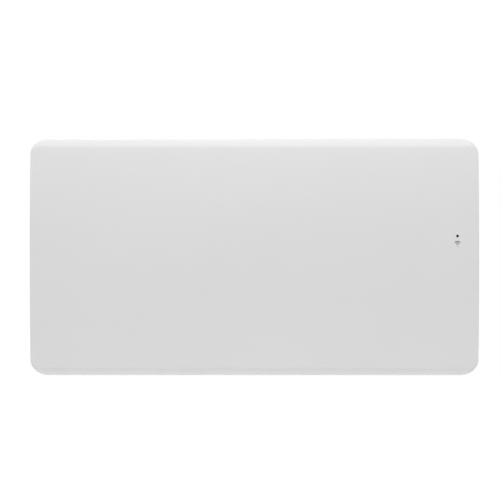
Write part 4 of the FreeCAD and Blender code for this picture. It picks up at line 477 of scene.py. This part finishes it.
def pressOutline(halfWidth, halfHeight):  # place, outward direction and edge roll, clockwise from the front
    corner = pressLook["corner"] * mm
    flat = Vector((halfWidth - corner, halfHeight - corner))
    runs = [((-1, 1), (1, 1), (0, 1), "roll", "topSteps"), ((1, 1), (1, -1), (1, 0), "fold", "endSteps"),
            ((1, -1), (-1, -1), (0, -1), "roll", "topSteps"), ((-1, -1), (-1, 1), (-1, 0), "fold", "endSteps")]
    points = []
    for start, stop, out, edge, count in runs:
        start, stop, out = Vector(start) * flat, Vector(stop) * flat, Vector(out)
        steps = pressLook[count]
        for i in range(steps):
            points.append((start.lerp(stop, i / steps) + out * corner, out, pressLook[edge] * mm))
        begin = math.atan2(out.y, out.x)
        for turn in quarterTurns(pressLook["cornerSteps"])[:-1]:
            out = Vector((math.cos(begin - turn), math.sin(begin - turn)))
            share = abs(math.asin(max(-1.0, min(1.0, out.y)))) / (math.pi / 2)  # 1 above or below, 0 at the ends
            share = share * share * (3 - 2 * share)  # eased at both
            roll = (pressLook["fold"] + (pressLook["roll"] - pressLook["fold"]) * share) * mm
            points.append((stop + out * corner, out, roll))
    return points


def pressFront():
    low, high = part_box("front_panel")
    halfWidth, halfHeight = high.x, high.z
    bow = pressLook["bow"] * mm
    bowRadius = (halfHeight ** 2 + bow ** 2) / (2 * bow)
    heel, back = pressLook["heel"] * mm, high.y

    def frontAt(z):
        return low.y + bowRadius - math.sqrt(bowRadius ** 2 - z ** 2)

    outline = pressOutline(halfWidth, halfHeight)
    rings = [[(p - out * pressLook["lip"] * mm, back) for p, out, roll in outline]]
    for turn in quarterTurns(pressLook["heelSteps"]):  # bend between lip and wall
        rings.append([(p - out * heel * (1 - math.sin(turn)), back - heel * (1 - math.cos(turn)))
                      for p, out, roll in outline])
    for turn in quarterTurns(pressLook["rollSteps"]):  # roll between wall and front
        spots = [(p - out * roll * (1 - math.cos(turn)), roll) for p, out, roll in outline]
        rings.append([(spot, frontAt(spot.y) + roll * (1 - math.sin(turn))) for spot, roll in spots])
    rim = [spot for spot, depth in rings[-1]]
    for i in range(1, pressLook["frontSteps"] + 1):  # the front itself, ring by ring towards its middle line
        spots = [spot.lerp(Vector((spot.x * pressLook["pinch"], 0)), i / pressLook["frontSteps"]) for spot in rim]
        rings.append([(spot, frontAt(spot.y)) for spot in spots])
    shell = bmesh.new()
    loftRings(shell, [[(spot.x, depth, spot.y) for spot, depth in ring] for ring in rings])
    bmesh.ops.remove_doubles(shell, verts=shell.verts, dist=weldLook["node"] * mm)
    blank = toMesh(shell, "front_pressing")

    lensLow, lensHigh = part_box("sensor_lens")
    places = [((lensLow + lensHigh) / 2, pressLook["lensHole"] * mm)]
    for points in solidsOf("rim_screws"):
        seat, axis, sizes = measureScrew(points)
        places.append((Vector((seat.x, back, seat.z)), sizes["shankRadius"] + pressLook["screwPlay"] * mm))
    holes = bmesh.new()
    for spot, radius in places:
        addRod(holes, radius, pressLook["holeDepth"] * mm, pressLook["holeSegments"],
               Matrix.Translation(spot) @ Matrix.Rotation(math.pi / 2, 4, "X"))
    mesh = cutAway(blank, toMesh(holes, "press_holes"), pressLook["sheet"] * mm)
    pressing = addPiece("front_pressing", mesh, finishes["panel_paint"])
    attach(pressing, "radiator")
    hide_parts("front_panel")
    return pressing


pressing = pressFront()
print("front pressed,", len(pressing.data.polygons), "faces")


# snap-in switch, sizes in mm from the side wall's outer face: a bezel with rolled edges round a deep well; bezel,
# case and well are (half depth, half height), the axle hole is (radius, length)
switchLook = {"bezel": (9.3, 13.1), "bezelHeight": 2.0, "bezelCorner": 1.8, "bezelRoll": 0.9,
              "case": (7.3, 11.1), "caseCorner": 0.5, "well": (5.8, 9.6), "wellCorner": 0.7, "wellRoll": 0.4,
              "wellFloor": -7.0, "pivotSink": 1.0, "axleHole": (1.35, 13.4), "axleSegments": 32, "steps": 6}


def switchRing(half, corner, height):  # rounded rectangle square to the switch's axis
    ring = []
    for quarter, (a, b) in enumerate(((1, 1), (-1, 1), (-1, -1), (1, -1))):
        for i in range(switchLook["steps"] + 1):
            turn = math.pi / 2 * (quarter + i / switchLook["steps"])
            ring.append(Vector((a * (half[0] - corner) + corner * math.cos(turn),
                                b * (half[1] - corner) + corner * math.sin(turn), height)) * mm)
    return ring


def switchPlace(height):  # from depth, height and outward to the frame, at a height over the side wall
    low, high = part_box("power_switch_body")
    middle = (low + high) / 2
    outward = high.x + (height - switchLook["bezelHeight"]) * mm
    return Matrix(((0, 0, 1, outward), (1, 0, 0, middle.y), (0, 1, 0, middle.z), (0, 0, 0, 1)))


def fitSwitchBezel():
    low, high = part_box("power_switch_body")
    bezel, well, top = switchLook["bezel"], switchLook["well"], switchLook["bezelHeight"]
    caseBack = top - (high.x - low.x) / mm
    rings = [switchRing(switchLook["case"], switchLook["caseCorner"], height) for height in (caseBack, 0)]
    rings.append(switchRing(bezel, switchLook["bezelCorner"], 0))
    for turn in quarterTurns(switchLook["steps"]):  # outer edge
        inset = switchLook["bezelRoll"] * (1 - math.cos(turn))
        rings.append(switchRing([side - inset for side in bezel], switchLook["bezelCorner"] - inset,
                                top - switchLook["bezelRoll"] * (1 - math.sin(turn))))
    for turn in quarterTurns(switchLook["steps"]):  # edge of the well
        grow = switchLook["wellRoll"] * (1 - math.sin(turn))
        rings.append(switchRing([side + grow for side in well], switchLook["wellCorner"] + grow,
                                top - switchLook["wellRoll"] * (1 - math.cos(turn))))
    rings.append(switchRing(well, switchLook["wellCorner"], switchLook["wellFloor"]))
    blank = bmesh.new()
    capRings(blank, rings)
    radius, length = switchLook["axleHole"]
    axle = bmesh.new()
    addRod(axle, radius * mm, length * mm, switchLook["axleSegments"],
           Matrix.Translation((0, 0, -switchLook["pivotSink"] * mm)) @ Matrix.Rotation(math.pi / 2, 4, "Y"))
    mesh = cutAway(toMesh(blank, "bezel_blank"), toMesh(axle, "axle_hole"))
    mesh.transform(switchPlace(0))
    piece = addPiece("switch_bezel_moulded", mesh, finishes["black_plastic"])
    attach(piece, "radiator")
    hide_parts("power_switch_body")


# its rocker, sizes in mm from the axle: half is (width, length), face (height at the middle, rise to the ends) of
# the hollow thumb face, stub (radius, length); at rest it is off, with its upper end out
rockerLook = {"half": (5.5, 8.3), "face": (2.4, 0.9), "side": 0.6, "heel": (5.0, -1.8), "roll": 0.5,
              "corner": 0.7, "stub": (1.2, 1.0), "tilt": 10.0, "steps": 5, "faceSteps": 16}


def fitRocker():
    halfWidth, halfLength = rockerLook["half"]
    middle, rise = rockerLook["face"]
    corner, roll = rockerLook["corner"], rockerLook["roll"]
    span = halfLength - corner
    turns = quarterTurns(rockerLook["steps"])

    def faceAt(along):
        return middle + rise * (along / halfLength) ** 2

    end = [rockerLook["heel"], (halfLength, rockerLook["side"])]
    end += [(halfLength - corner * (1 - math.cos(turn)), faceAt(span) - corner * (1 - math.sin(turn)))
            for turn in turns]
    face = [-span + 2 * span * i / rockerLook["faceSteps"] for i in range(1, rockerLook["faceSteps"])]
    loop = [(-v, w) for v, w in end] + [(v, faceAt(v)) for v in face] + end[::-1]
    loop = [Vector(point) for point in loop]

    def ringAt(across, inset):
        ring = []
        for before, point, after in zip(loop[-1:] + loop[:-1], loop, loop[1:] + loop[:1]):
            along = (after - before).normalized()
            spot = point + Vector((along.y, -along.x)) * inset
            ring.append(Vector((across, spot.x, spot.y)) * mm)
        return ring

    sides = [(halfWidth - roll * (1 - math.cos(turn)), roll * (1 - math.sin(turn))) for turn in turns]
    solid = bmesh.new()
    capRings(solid, [ringAt(-across, inset) for across, inset in sides] + [ringAt(*side) for side in sides[::-1]])
    radius, length = rockerLook["stub"]
    for side in (-1, 1):
        spot = Vector((side * (halfWidth + length / 2) * mm, 0, 0))
        addRod(solid, radius * mm, length * mm, switchLook["axleSegments"],
               Matrix.Translation(spot) @ Matrix.Rotation(math.pi / 2, 4, "Y"))
    mesh = toMesh(solid, "rocker_moulded")
    tilt = Matrix.Rotation(math.radians(rockerLook["tilt"]), 4, "X")
    mesh.transform(switchPlace(-switchLook["pivotSink"]) @ tilt)
    piece = addPiece("rocker_moulded", mesh, finishes["rocker_plastic"])
    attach(piece, "rocker")
    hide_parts("power_switch_rocker")
    return piece


fitSwitchBezel()
rocker = fitRocker()
print("switch fitted")


# screen-printed ink: flat colour with slightly uneven cover
inkLooks = {
    "grey": {"name": "ink_grey_screen_printed", "colours": ("#66686A", "#747678"), "cloud": 3, "grain": 0.5,
             "roughness": (0.5, 0.6), "relief": 0.004, "strength": 0.3, "ior": 1.5},
    "white": {"name": "ink_white_screen_printed", "colours": ("#DCDCDA", "#CFCFCC"), "cloud": 2, "grain": 0.5,
              "roughness": (0.45, 0.55), "relief": 0.004, "strength": 0.3, "ior": 1.5},
}
inks = {name: plainFinish(look) for name, look in inkLooks.items()}
markLook = {"film": 0.03, "arcStep": 6, "fewestSteps": 4}  # film in mm above and below the surface, arcs in degrees


def arcLine(centre, radius, start, stop):  # degrees, counted from +u towards +v
    steps = max(markLook["fewestSteps"], round(abs(stop - start) / markLook["arcStep"]))
    angles = [math.radians(start + (stop - start) * i / steps) for i in range(steps + 1)]
    return [(centre[0] + radius * math.cos(a), centre[1] + radius * math.sin(a)) for a in angles]


# lays strokes in mm on a piece's surface: u and v are the directions on it, out is its outward side
def printMark(name, carrier, spot, u, v, strokes, ink):
    mesh = carrier.data
    surface = BVHTree.FromPolygons([p.co for p in mesh.vertices], [f.vertices for f in mesh.polygons])
    u, v = Vector(u), Vector(v)
    out = u.cross(v)
    film = out * markLook["film"] * mm
    marks = bmesh.new()
    for line, width in strokes:
        path = [Vector(point) for point in line]
        closed = (path[0] - path[-1]).length < weldLook["mark"]
        rows = []
        for i, point in enumerate(path):
            before = path[i - 1] if i else path[-2] if closed else point
            after = path[i + 1] if i + 1 < len(path) else path[1] if closed else point
            side = (after - before).normalized().orthogonal() * width / 2
            row = []
            for edge in (point - side, point + side):
                start = spot + (u * edge.x + v * edge.y) * mm + out
                hit = surface.ray_cast(start, -out)[0]
                row += [marks.verts.new(hit + film), marks.verts.new(hit - film)]
            rows.append(row)
        for a, b in zip(rows, rows[1:]):
            for i, j in ((0, 2), (2, 3), (3, 1), (1, 0)):  # top, right, under, left
                marks.faces.new((a[i], b[i], b[j], a[j]))
        if not closed:
            for row in (rows[0], rows[-1]):
                marks.faces.new((row[0], row[2], row[3], row[1]))
    bmesh.ops.remove_doubles(marks, verts=marks.verts, dist=weldLook["mark"] * mm)
    bmesh.ops.recalc_face_normals(marks, faces=marks.faces)
    printed = toMesh(marks, name)
    printed.materials.append(ink)
    piece = bpy.data.objects.new(name, printed)
    scene.collection.objects.link(piece)
    return piece


# fan of arcs under the infrared window, heavier towards the top
fanLook = {"drop": 24.4, "radii": (4.3, 7.9, 11.4), "widths": (1.5, 1.9, 2.3), "spread": 35, "dot": 1.0}


def printSensorFan(pressing):
    low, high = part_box("sensor_lens")
    spot = Vector(((low.x + high.x) / 2, 0, (low.z + high.z) / 2 - fanLook["drop"] * mm))
    strokes = [(arcLine((0, 0), radius, 90 - fanLook["spread"], 90 + fanLook["spread"]), width)
               for radius, width in zip(fanLook["radii"], fanLook["widths"])]
    strokes.append((arcLine((0, 0), fanLook["dot"] / 2, 0, 360), fanLook["dot"]))
    piece = printMark("sensor_mark", pressing, spot, (1, 0, 0), (0, 0, 1), strokes, inks["grey"])
    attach(piece, "radiator")


# signs on the key caps: ring, minus, plus and three bars
signLook = {"size": 1.8, "width": 0.55, "barPitch": 1.3}


def printKeySigns():
    size, width, pitch = signLook["size"], signLook["width"], signLook["barPitch"]
    bar = [(-size, 0), (size, 0)]
    signs = {
        "mode": [(arcLine((0, 0), size, 0, 360), width)],
        "minus": [(bar, width)],
        "plus": [(bar, width), ([(0, -size), (0, -width / 2)], width), ([(0, width / 2), (0, size)], width)],
        "menu": [([(-size, row * pitch), (size, row * pitch)], width) for row in (-1, 0, 1)],
    }
    for key, strokes in signs.items():
        low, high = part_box("key_" + key)
        spot = Vector(((low.x + high.x) / 2, (low.y + high.y) / 2, 0))
        piece = printMark("sign_" + key, nodes["key_" + key], spot, (1, 0, 0), (0, 1, 0), strokes, inks["grey"])
        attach(piece, key + "_key")


# bar and ring on the rocker: on above, off below
rockerSignLook = {"offset": 5.0, "size": 1.7, "width": 0.7, "barShares": (-1.0, -0.5, 0.0, 0.5, 1.0)}


def printRockerSigns(rocker):
    low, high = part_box("power_switch_rocker")
    spot = Vector((0, (low.y + high.y) / 2, (low.z + high.z) / 2))
    offset, size, width = rockerSignLook["offset"], rockerSignLook["size"], rockerSignLook["width"]
    bar = [(0, offset + size * share) for share in rockerSignLook["barShares"]]
    strokes = [(bar, width), (arcLine((0, -offset), size, 0, 360), width)]
    piece = printMark("rocker_signs", rocker, spot, (0, 1, 0), (0, 0, 1), strokes, inks["white"])
    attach(piece, "rocker")


printSensorFan(pressing)
printKeySigns()
printRockerSigns(rocker)
print("marks printed")


# pan-head screws with a cross recess: the pitch is in mm, dome, recess and thread are shares of the head, the shank
# and the pitch, and recessFoot is how much of its length and width the recess keeps at its floor
screwLook = {"segments": 40, "recessWidth": 0.30, "recessReach": 0.62, "recessDepth": 0.62, "recessTop": 1.2,
             "recessFoot": (0.55, 0.8), "threadPitch": 1.1, "root": 0.82, "rootAt": 0.15, "crestAt": 0.5,
             "runOut": 0.1, "tip": 0.6,
             "dome": ((0.0, 1.0), (0.45, 0.985), (0.7, 0.92), (0.87, 0.78), (0.97, 0.55), (1.0, 0.3), (1.0, 0.0))}


def recessCutter(radius, height):
    half = radius * screwLook["recessWidth"] / 2
    reach = radius * screwLook["recessReach"]
    floor = height * (1 - screwLook["recessDepth"])
    long, wide = screwLook["recessFoot"]
    cutter = bmesh.new()
    for turn in (0, 90):
        spin = Matrix.Rotation(math.radians(turn), 4, "Z")
        mouth = [(-reach, -half), (reach, -half), (reach, half), (-reach, half)]
        lower = [spin @ Vector((x * long, y * wide, floor)) for x, y in mouth]
        upper = [spin @ Vector((x, y, height * screwLook["recessTop"])) for x, y in mouth]
        capRings(cutter, [upper, lower])
    return toMesh(cutter, "recess_cutter")


def crossHeadScrew(name, sizes):
    shank, length = sizes["shankRadius"], sizes["shankLength"]
    root = shank * screwLook["root"]
    profile = [(r * sizes["headRadius"], z * sizes["headHeight"]) for r, z in screwLook["dome"]] + [(root, 0.0)]
    turns = max(2, int(length / (screwLook["threadPitch"] * mm)) - 1)  # whole turns of thread
    pitch = length / (turns + 1)
    for i in range(turns):
        profile += [(root, -pitch * (i + screwLook["rootAt"])), (shank, -pitch * (i + screwLook["crestAt"]))]
    profile += [(root, -pitch * (turns - screwLook["runOut"])), (shank * screwLook["tip"], -length), (0.0, -length)]
    return cutAway(turnedMesh(name, profile, screwLook["segments"]),
                   recessCutter(sizes["headRadius"], sizes["headHeight"]))


def fitScrews(node):
    joined = bmesh.new()
    pattern = None
    for points in solidsOf(node):
        seat, axis, sizes = measureScrew(points)
        pattern = pattern or crossHeadScrew(node + "_one", sizes)
        joinCopy(joined, pattern.copy(),
                 Matrix.Translation(seat) @ axis.to_track_quat("Z", "Y").to_matrix().to_4x4())
    piece = addPiece(node + "_cross_head", toMesh(joined, node + "_cross_head"), finishes["zinc"])
    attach(piece, "radiator")
    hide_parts(node)


for screwNode in ("rim_screws", "back_screws", "hanger_screws", "fascia_screws"):
    fitScrews(screwNode)
print("screws fitted")


# moulded cable gland, sizes in mm from the casing's back face: grip notches round the flange and a raised collar
# slit into clamping fingers; profile is (radius, height) from the barrel's neck to the bore's mouth
glandLook = {"bore": 4.0, "barrel": 8.0, "barrelEdge": 0.6, "top": 3.0, "segments": 96,
             "profile": ((8.0, 0), (12.0, 0), (12.0, 1.3), (11.8, 1.65), (11.4, 1.8), (9.1, 2.3), (8.7, 2.2),
                         (8.4, 1.0), (7.2, 1.0), (7.2, 2.5), (7.0, 2.9), (6.6, 3.0), (5.2, 3.0), (4.5, 2.75),
                         (4.12, 2.3), (4.0, 1.7)),
             "notches": 20, "notchRadius": 0.9, "notchSpot": (12.3, 0, 2.6), "notchSegments": 16,
             "slits": 6, "slitLength": 15.0, "slitWidth": 0.8, "slitFloor": 1.2, "toolHeight": 4.0}


def fitGland():
    low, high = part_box("cable_gland")
    bore, barrel, edge, top = glandLook["bore"], glandLook["barrel"], glandLook["barrelEdge"], glandLook["top"]
    tall = glandLook["toolHeight"]
    end = top - (high.y - low.y) / mm
    loop = [(bore, end), (barrel - edge, end), (barrel, end + edge), *glandLook["profile"]]
    blank = turnedMesh("gland_blank", [(r * mm, z * mm) for r, z in loop], glandLook["segments"], bored=True)
    tools = bmesh.new()
    for i in range(glandLook["notches"]):
        spin = Matrix.Rotation(2 * math.pi * i / glandLook["notches"], 4, "Z")
        addRod(tools, glandLook["notchRadius"] * mm, tall * mm, glandLook["notchSegments"],
               spin @ Matrix.Translation(Vector(glandLook["notchSpot"]) * mm))
    for i in range(glandLook["slits"] // 2):  # each tool cuts two slits, straight across
        spin = Matrix.Rotation(2 * math.pi * i / glandLook["slits"], 4, "Z")
        size = Matrix.Diagonal((glandLook["slitLength"] * mm, glandLook["slitWidth"] * mm, tall * mm, 1))
        lift = Matrix.Translation((0, 0, (glandLook["slitFloor"] + tall / 2) * mm))
        bmesh.ops.create_cube(tools, size=1.0, matrix=spin @ lift @ size)
    mesh = cutAway(blank, toMesh(tools, "gland_tools"))
    seat = Vector(((low.x + high.x) / 2, high.y - top * mm, (low.z + high.z) / 2))
    mesh.transform(Matrix.Translation(seat) @ Matrix.Rotation(-math.pi / 2, 4, "X"))
    piece = addPiece("cable_gland_moulded", mesh, finishes["black_plastic"])
    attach(piece, "radiator")
    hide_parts("cable_gland")


# rubber feet, sizes in mm: a round base, a neck with two grooves and a soft rim at the tip; tipEdge is (inset, drop)
# from the tip's corner, groove (depth, half floor, half mouth), base (radius, height) from the casing
footLook = {"tip": 7.0, "neck": 7.7, "neckFrom": 3.0, "tipEdge": ((1.6, 0), (0.8, 0.15), (0.25, 0.6), (0, 1.3)),
            "groove": (0.5, 0.5, 0.8), "grooveShares": (0.62, 0.38), "segments": 56,
            "base": ((7.7, 3.9), (7.9, 3.3), (8.2, 3.0), (8.8, 2.7), (9.0, 2.1), (9.0, 0), (0, 0))}


def fitFeet():
    tip, neck, step = footLook["tip"], footLook["neck"], footLook["neckFrom"]
    depth, floor, mouth = footLook["groove"]
    joined = bmesh.new()
    for points in solidsOf("wall_bumpers"):
        low, high = boxOf(points)
        height = (high.y - low.y) / mm
        profile = [(0, height)] + [(tip - inset, height - drop) for inset, drop in footLook["tipEdge"]]
        for share in footLook["grooveShares"]:
            middle = step + (height - step) * share
            radius = tip + (neck - tip) * (1 - share)
            profile += [(radius, middle + mouth), (radius - depth, middle + floor),
                        (radius - depth, middle - floor), (radius, middle - mouth)]
        profile += footLook["base"]
        foot = turnedMesh("foot_one", [(r * mm, z * mm) for r, z in profile], footLook["segments"])
        seat = Vector(((low.x + high.x) / 2, low.y, (low.z + high.z) / 2))
        joinCopy(joined, foot, Matrix.Translation(seat) @ Matrix.Rotation(-math.pi / 2, 4, "X"))
    piece = addPiece("wall_feet", toMesh(joined, "wall_feet"), finishes["bumper_rubber"])
    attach(piece, "radiator")
    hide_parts("wall_bumpers")


fitGland()
fitFeet()
print("gland and feet fitted")


# pale studio floor; paperGlow is added for camera, mirror and glass rays only, so it reads white, shadow kept
stageLook = {"floorHeight": -0.75, "floorSize": 30.0, "floorColour": "#F4F4F4", "paperGlow": 0.5}


def seenDirectly(holder):  # 1 for rays from the camera, off a mirror or through glass
    path = addNode(holder, "ShaderNodeLightPath")
    seen = addNode(holder, "ShaderNodeMath", {"operation": "MAXIMUM"},
                   {0: path.outputs["Is Camera Ray"], 1: path.outputs["Is Glossy Ray"]})
    seen = addNode(holder, "ShaderNodeMath", {"operation": "MAXIMUM"},
                   {0: seen.outputs["Value"], 1: path.outputs["Is Transmission Ray"]})
    return seen.outputs["Value"]


def makeFloor():
    half = stageLook["floorSize"] / 2
    mesh = bpy.data.meshes.new("studio_floor")
    mesh.from_pydata([(-half, -half, 0), (half, -half, 0), (half, half, 0), (-half, half, 0)], [], [(0, 1, 2, 3)])
    floor = bpy.data.objects.new("studio_floor", mesh)
    floor.location.z = stageLook["floorHeight"]
    scene.collection.objects.link(floor)
    material = bpy.data.materials.new("floor_paper_white")
    material.use_nodes = True
    material.node_tree.nodes.clear()
    glow = addNode(material, "ShaderNodeMath", {"operation": "MULTIPLY", 1: stageLook["paperGlow"]},
                   {0: seenDirectly(material)})
    paper = addNode(material, "ShaderNodeBsdfDiffuse", {"Color": linearRgb(stageLook["floorColour"])})
    white = addNode(material, "ShaderNodeEmission", feeds={"Strength": glow.outputs["Value"]})
    both = addNode(material, "ShaderNodeAddShader", feeds={0: paper.outputs["BSDF"], 1: white.outputs["Emission"]})
    addNode(material, "ShaderNodeOutputMaterial", feeds={"Surface": both.outputs["Shader"]})
    mesh.materials.append(material)


# soft even sky with four large lamps: spot, aim and size in metres, power in watts
lightLook = {"sky": 0.55, "lamps": {
    "overhead_softbox": {"spot": (0.0, -0.1, 2.2), "aim": (0.0, -0.1, 0.0), "size": (3.6, 3.6), "power": 11.5},
    "brow_strip": {"spot": (0.0, -0.8, 1.15), "aim": (0.0, -0.1, 0.2), "size": (3.0, 0.5), "power": 10.0},
    "under_fill": {"spot": (0.0, -0.7, -0.7), "aim": (0.0, -0.1, -0.28), "size": (3.0, 0.5), "power": 2.35},
    "rear_fill": {"spot": (-0.7, 2.1, 0.8), "aim": (0.0, 0.0, 0.0), "size": (1.2, 1.2), "power": 16.0},
}}


def makeSky():
    world = bpy.data.worlds.new("studio_white")
    scene.world = world
    world.use_nodes = True
    world.node_tree.nodes.clear()
    level = addNode(world, "ShaderNodeMapRange", {"To Min": lightLook["sky"], "To Max": 1.0},
                    {"Value": seenDirectly(world)})
    sky = addNode(world, "ShaderNodeBackground", {"Color": (1, 1, 1, 1)}, {"Strength": level.outputs["Result"]})
    addNode(world, "ShaderNodeOutputWorld", feeds={"Surface": sky.outputs["Background"]})


def makeLamp(name, look):
    lamp = bpy.data.lights.new(name, "AREA")
    lamp.shape = "RECTANGLE"
    lamp.size, lamp.size_y = look["size"]
    lamp.energy = look["power"]
    holder = bpy.data.objects.new(name, lamp)
    holder.location = look["spot"]
    holder.rotation_euler = (Vector(look["aim"]) - holder.location).to_track_quat("-Z", "Y").to_euler()
    scene.collection.objects.link(holder)


# square-on view from 3.3 m; the panel's width and the view's middle are in pixels of the 500 pixel image
viewLook = {"distance": 3.3, "sensor": 36.0, "imageSide": 500, "panelPixels": 446.2, "centrePixel": (254.45, 257.1)}


def makeCamera():
    low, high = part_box("front_panel")
    plane = (low.y + high.y) / 2
    perMetre = viewLook["panelPixels"] / (high.x - low.x)
    offX, offZ = [(pixel - viewLook["imageSide"] / 2) / perMetre for pixel in viewLook["centrePixel"]]
    camera = bpy.data.cameras.new("front_view")
    camera.sensor_width = viewLook["sensor"]
    camera.lens = viewLook["sensor"] * viewLook["distance"] * perMetre / viewLook["imageSide"]
    camera.dof.use_dof = False
    holder = bpy.data.objects.new("front_view", camera)
    holder.location = (-offX, plane - viewLook["distance"], offZ)
    holder.rotation_euler = (math.radians(90), 0, 0)
    scene.collection.objects.link(holder)
    scene.camera = holder


scene.view_settings.view_transform = "Standard"
makeFloor()
makeSky()
for name, look in lightLook["lamps"].items():
    makeLamp(name, look)
makeCamera()
print("stage, light and camera placed")
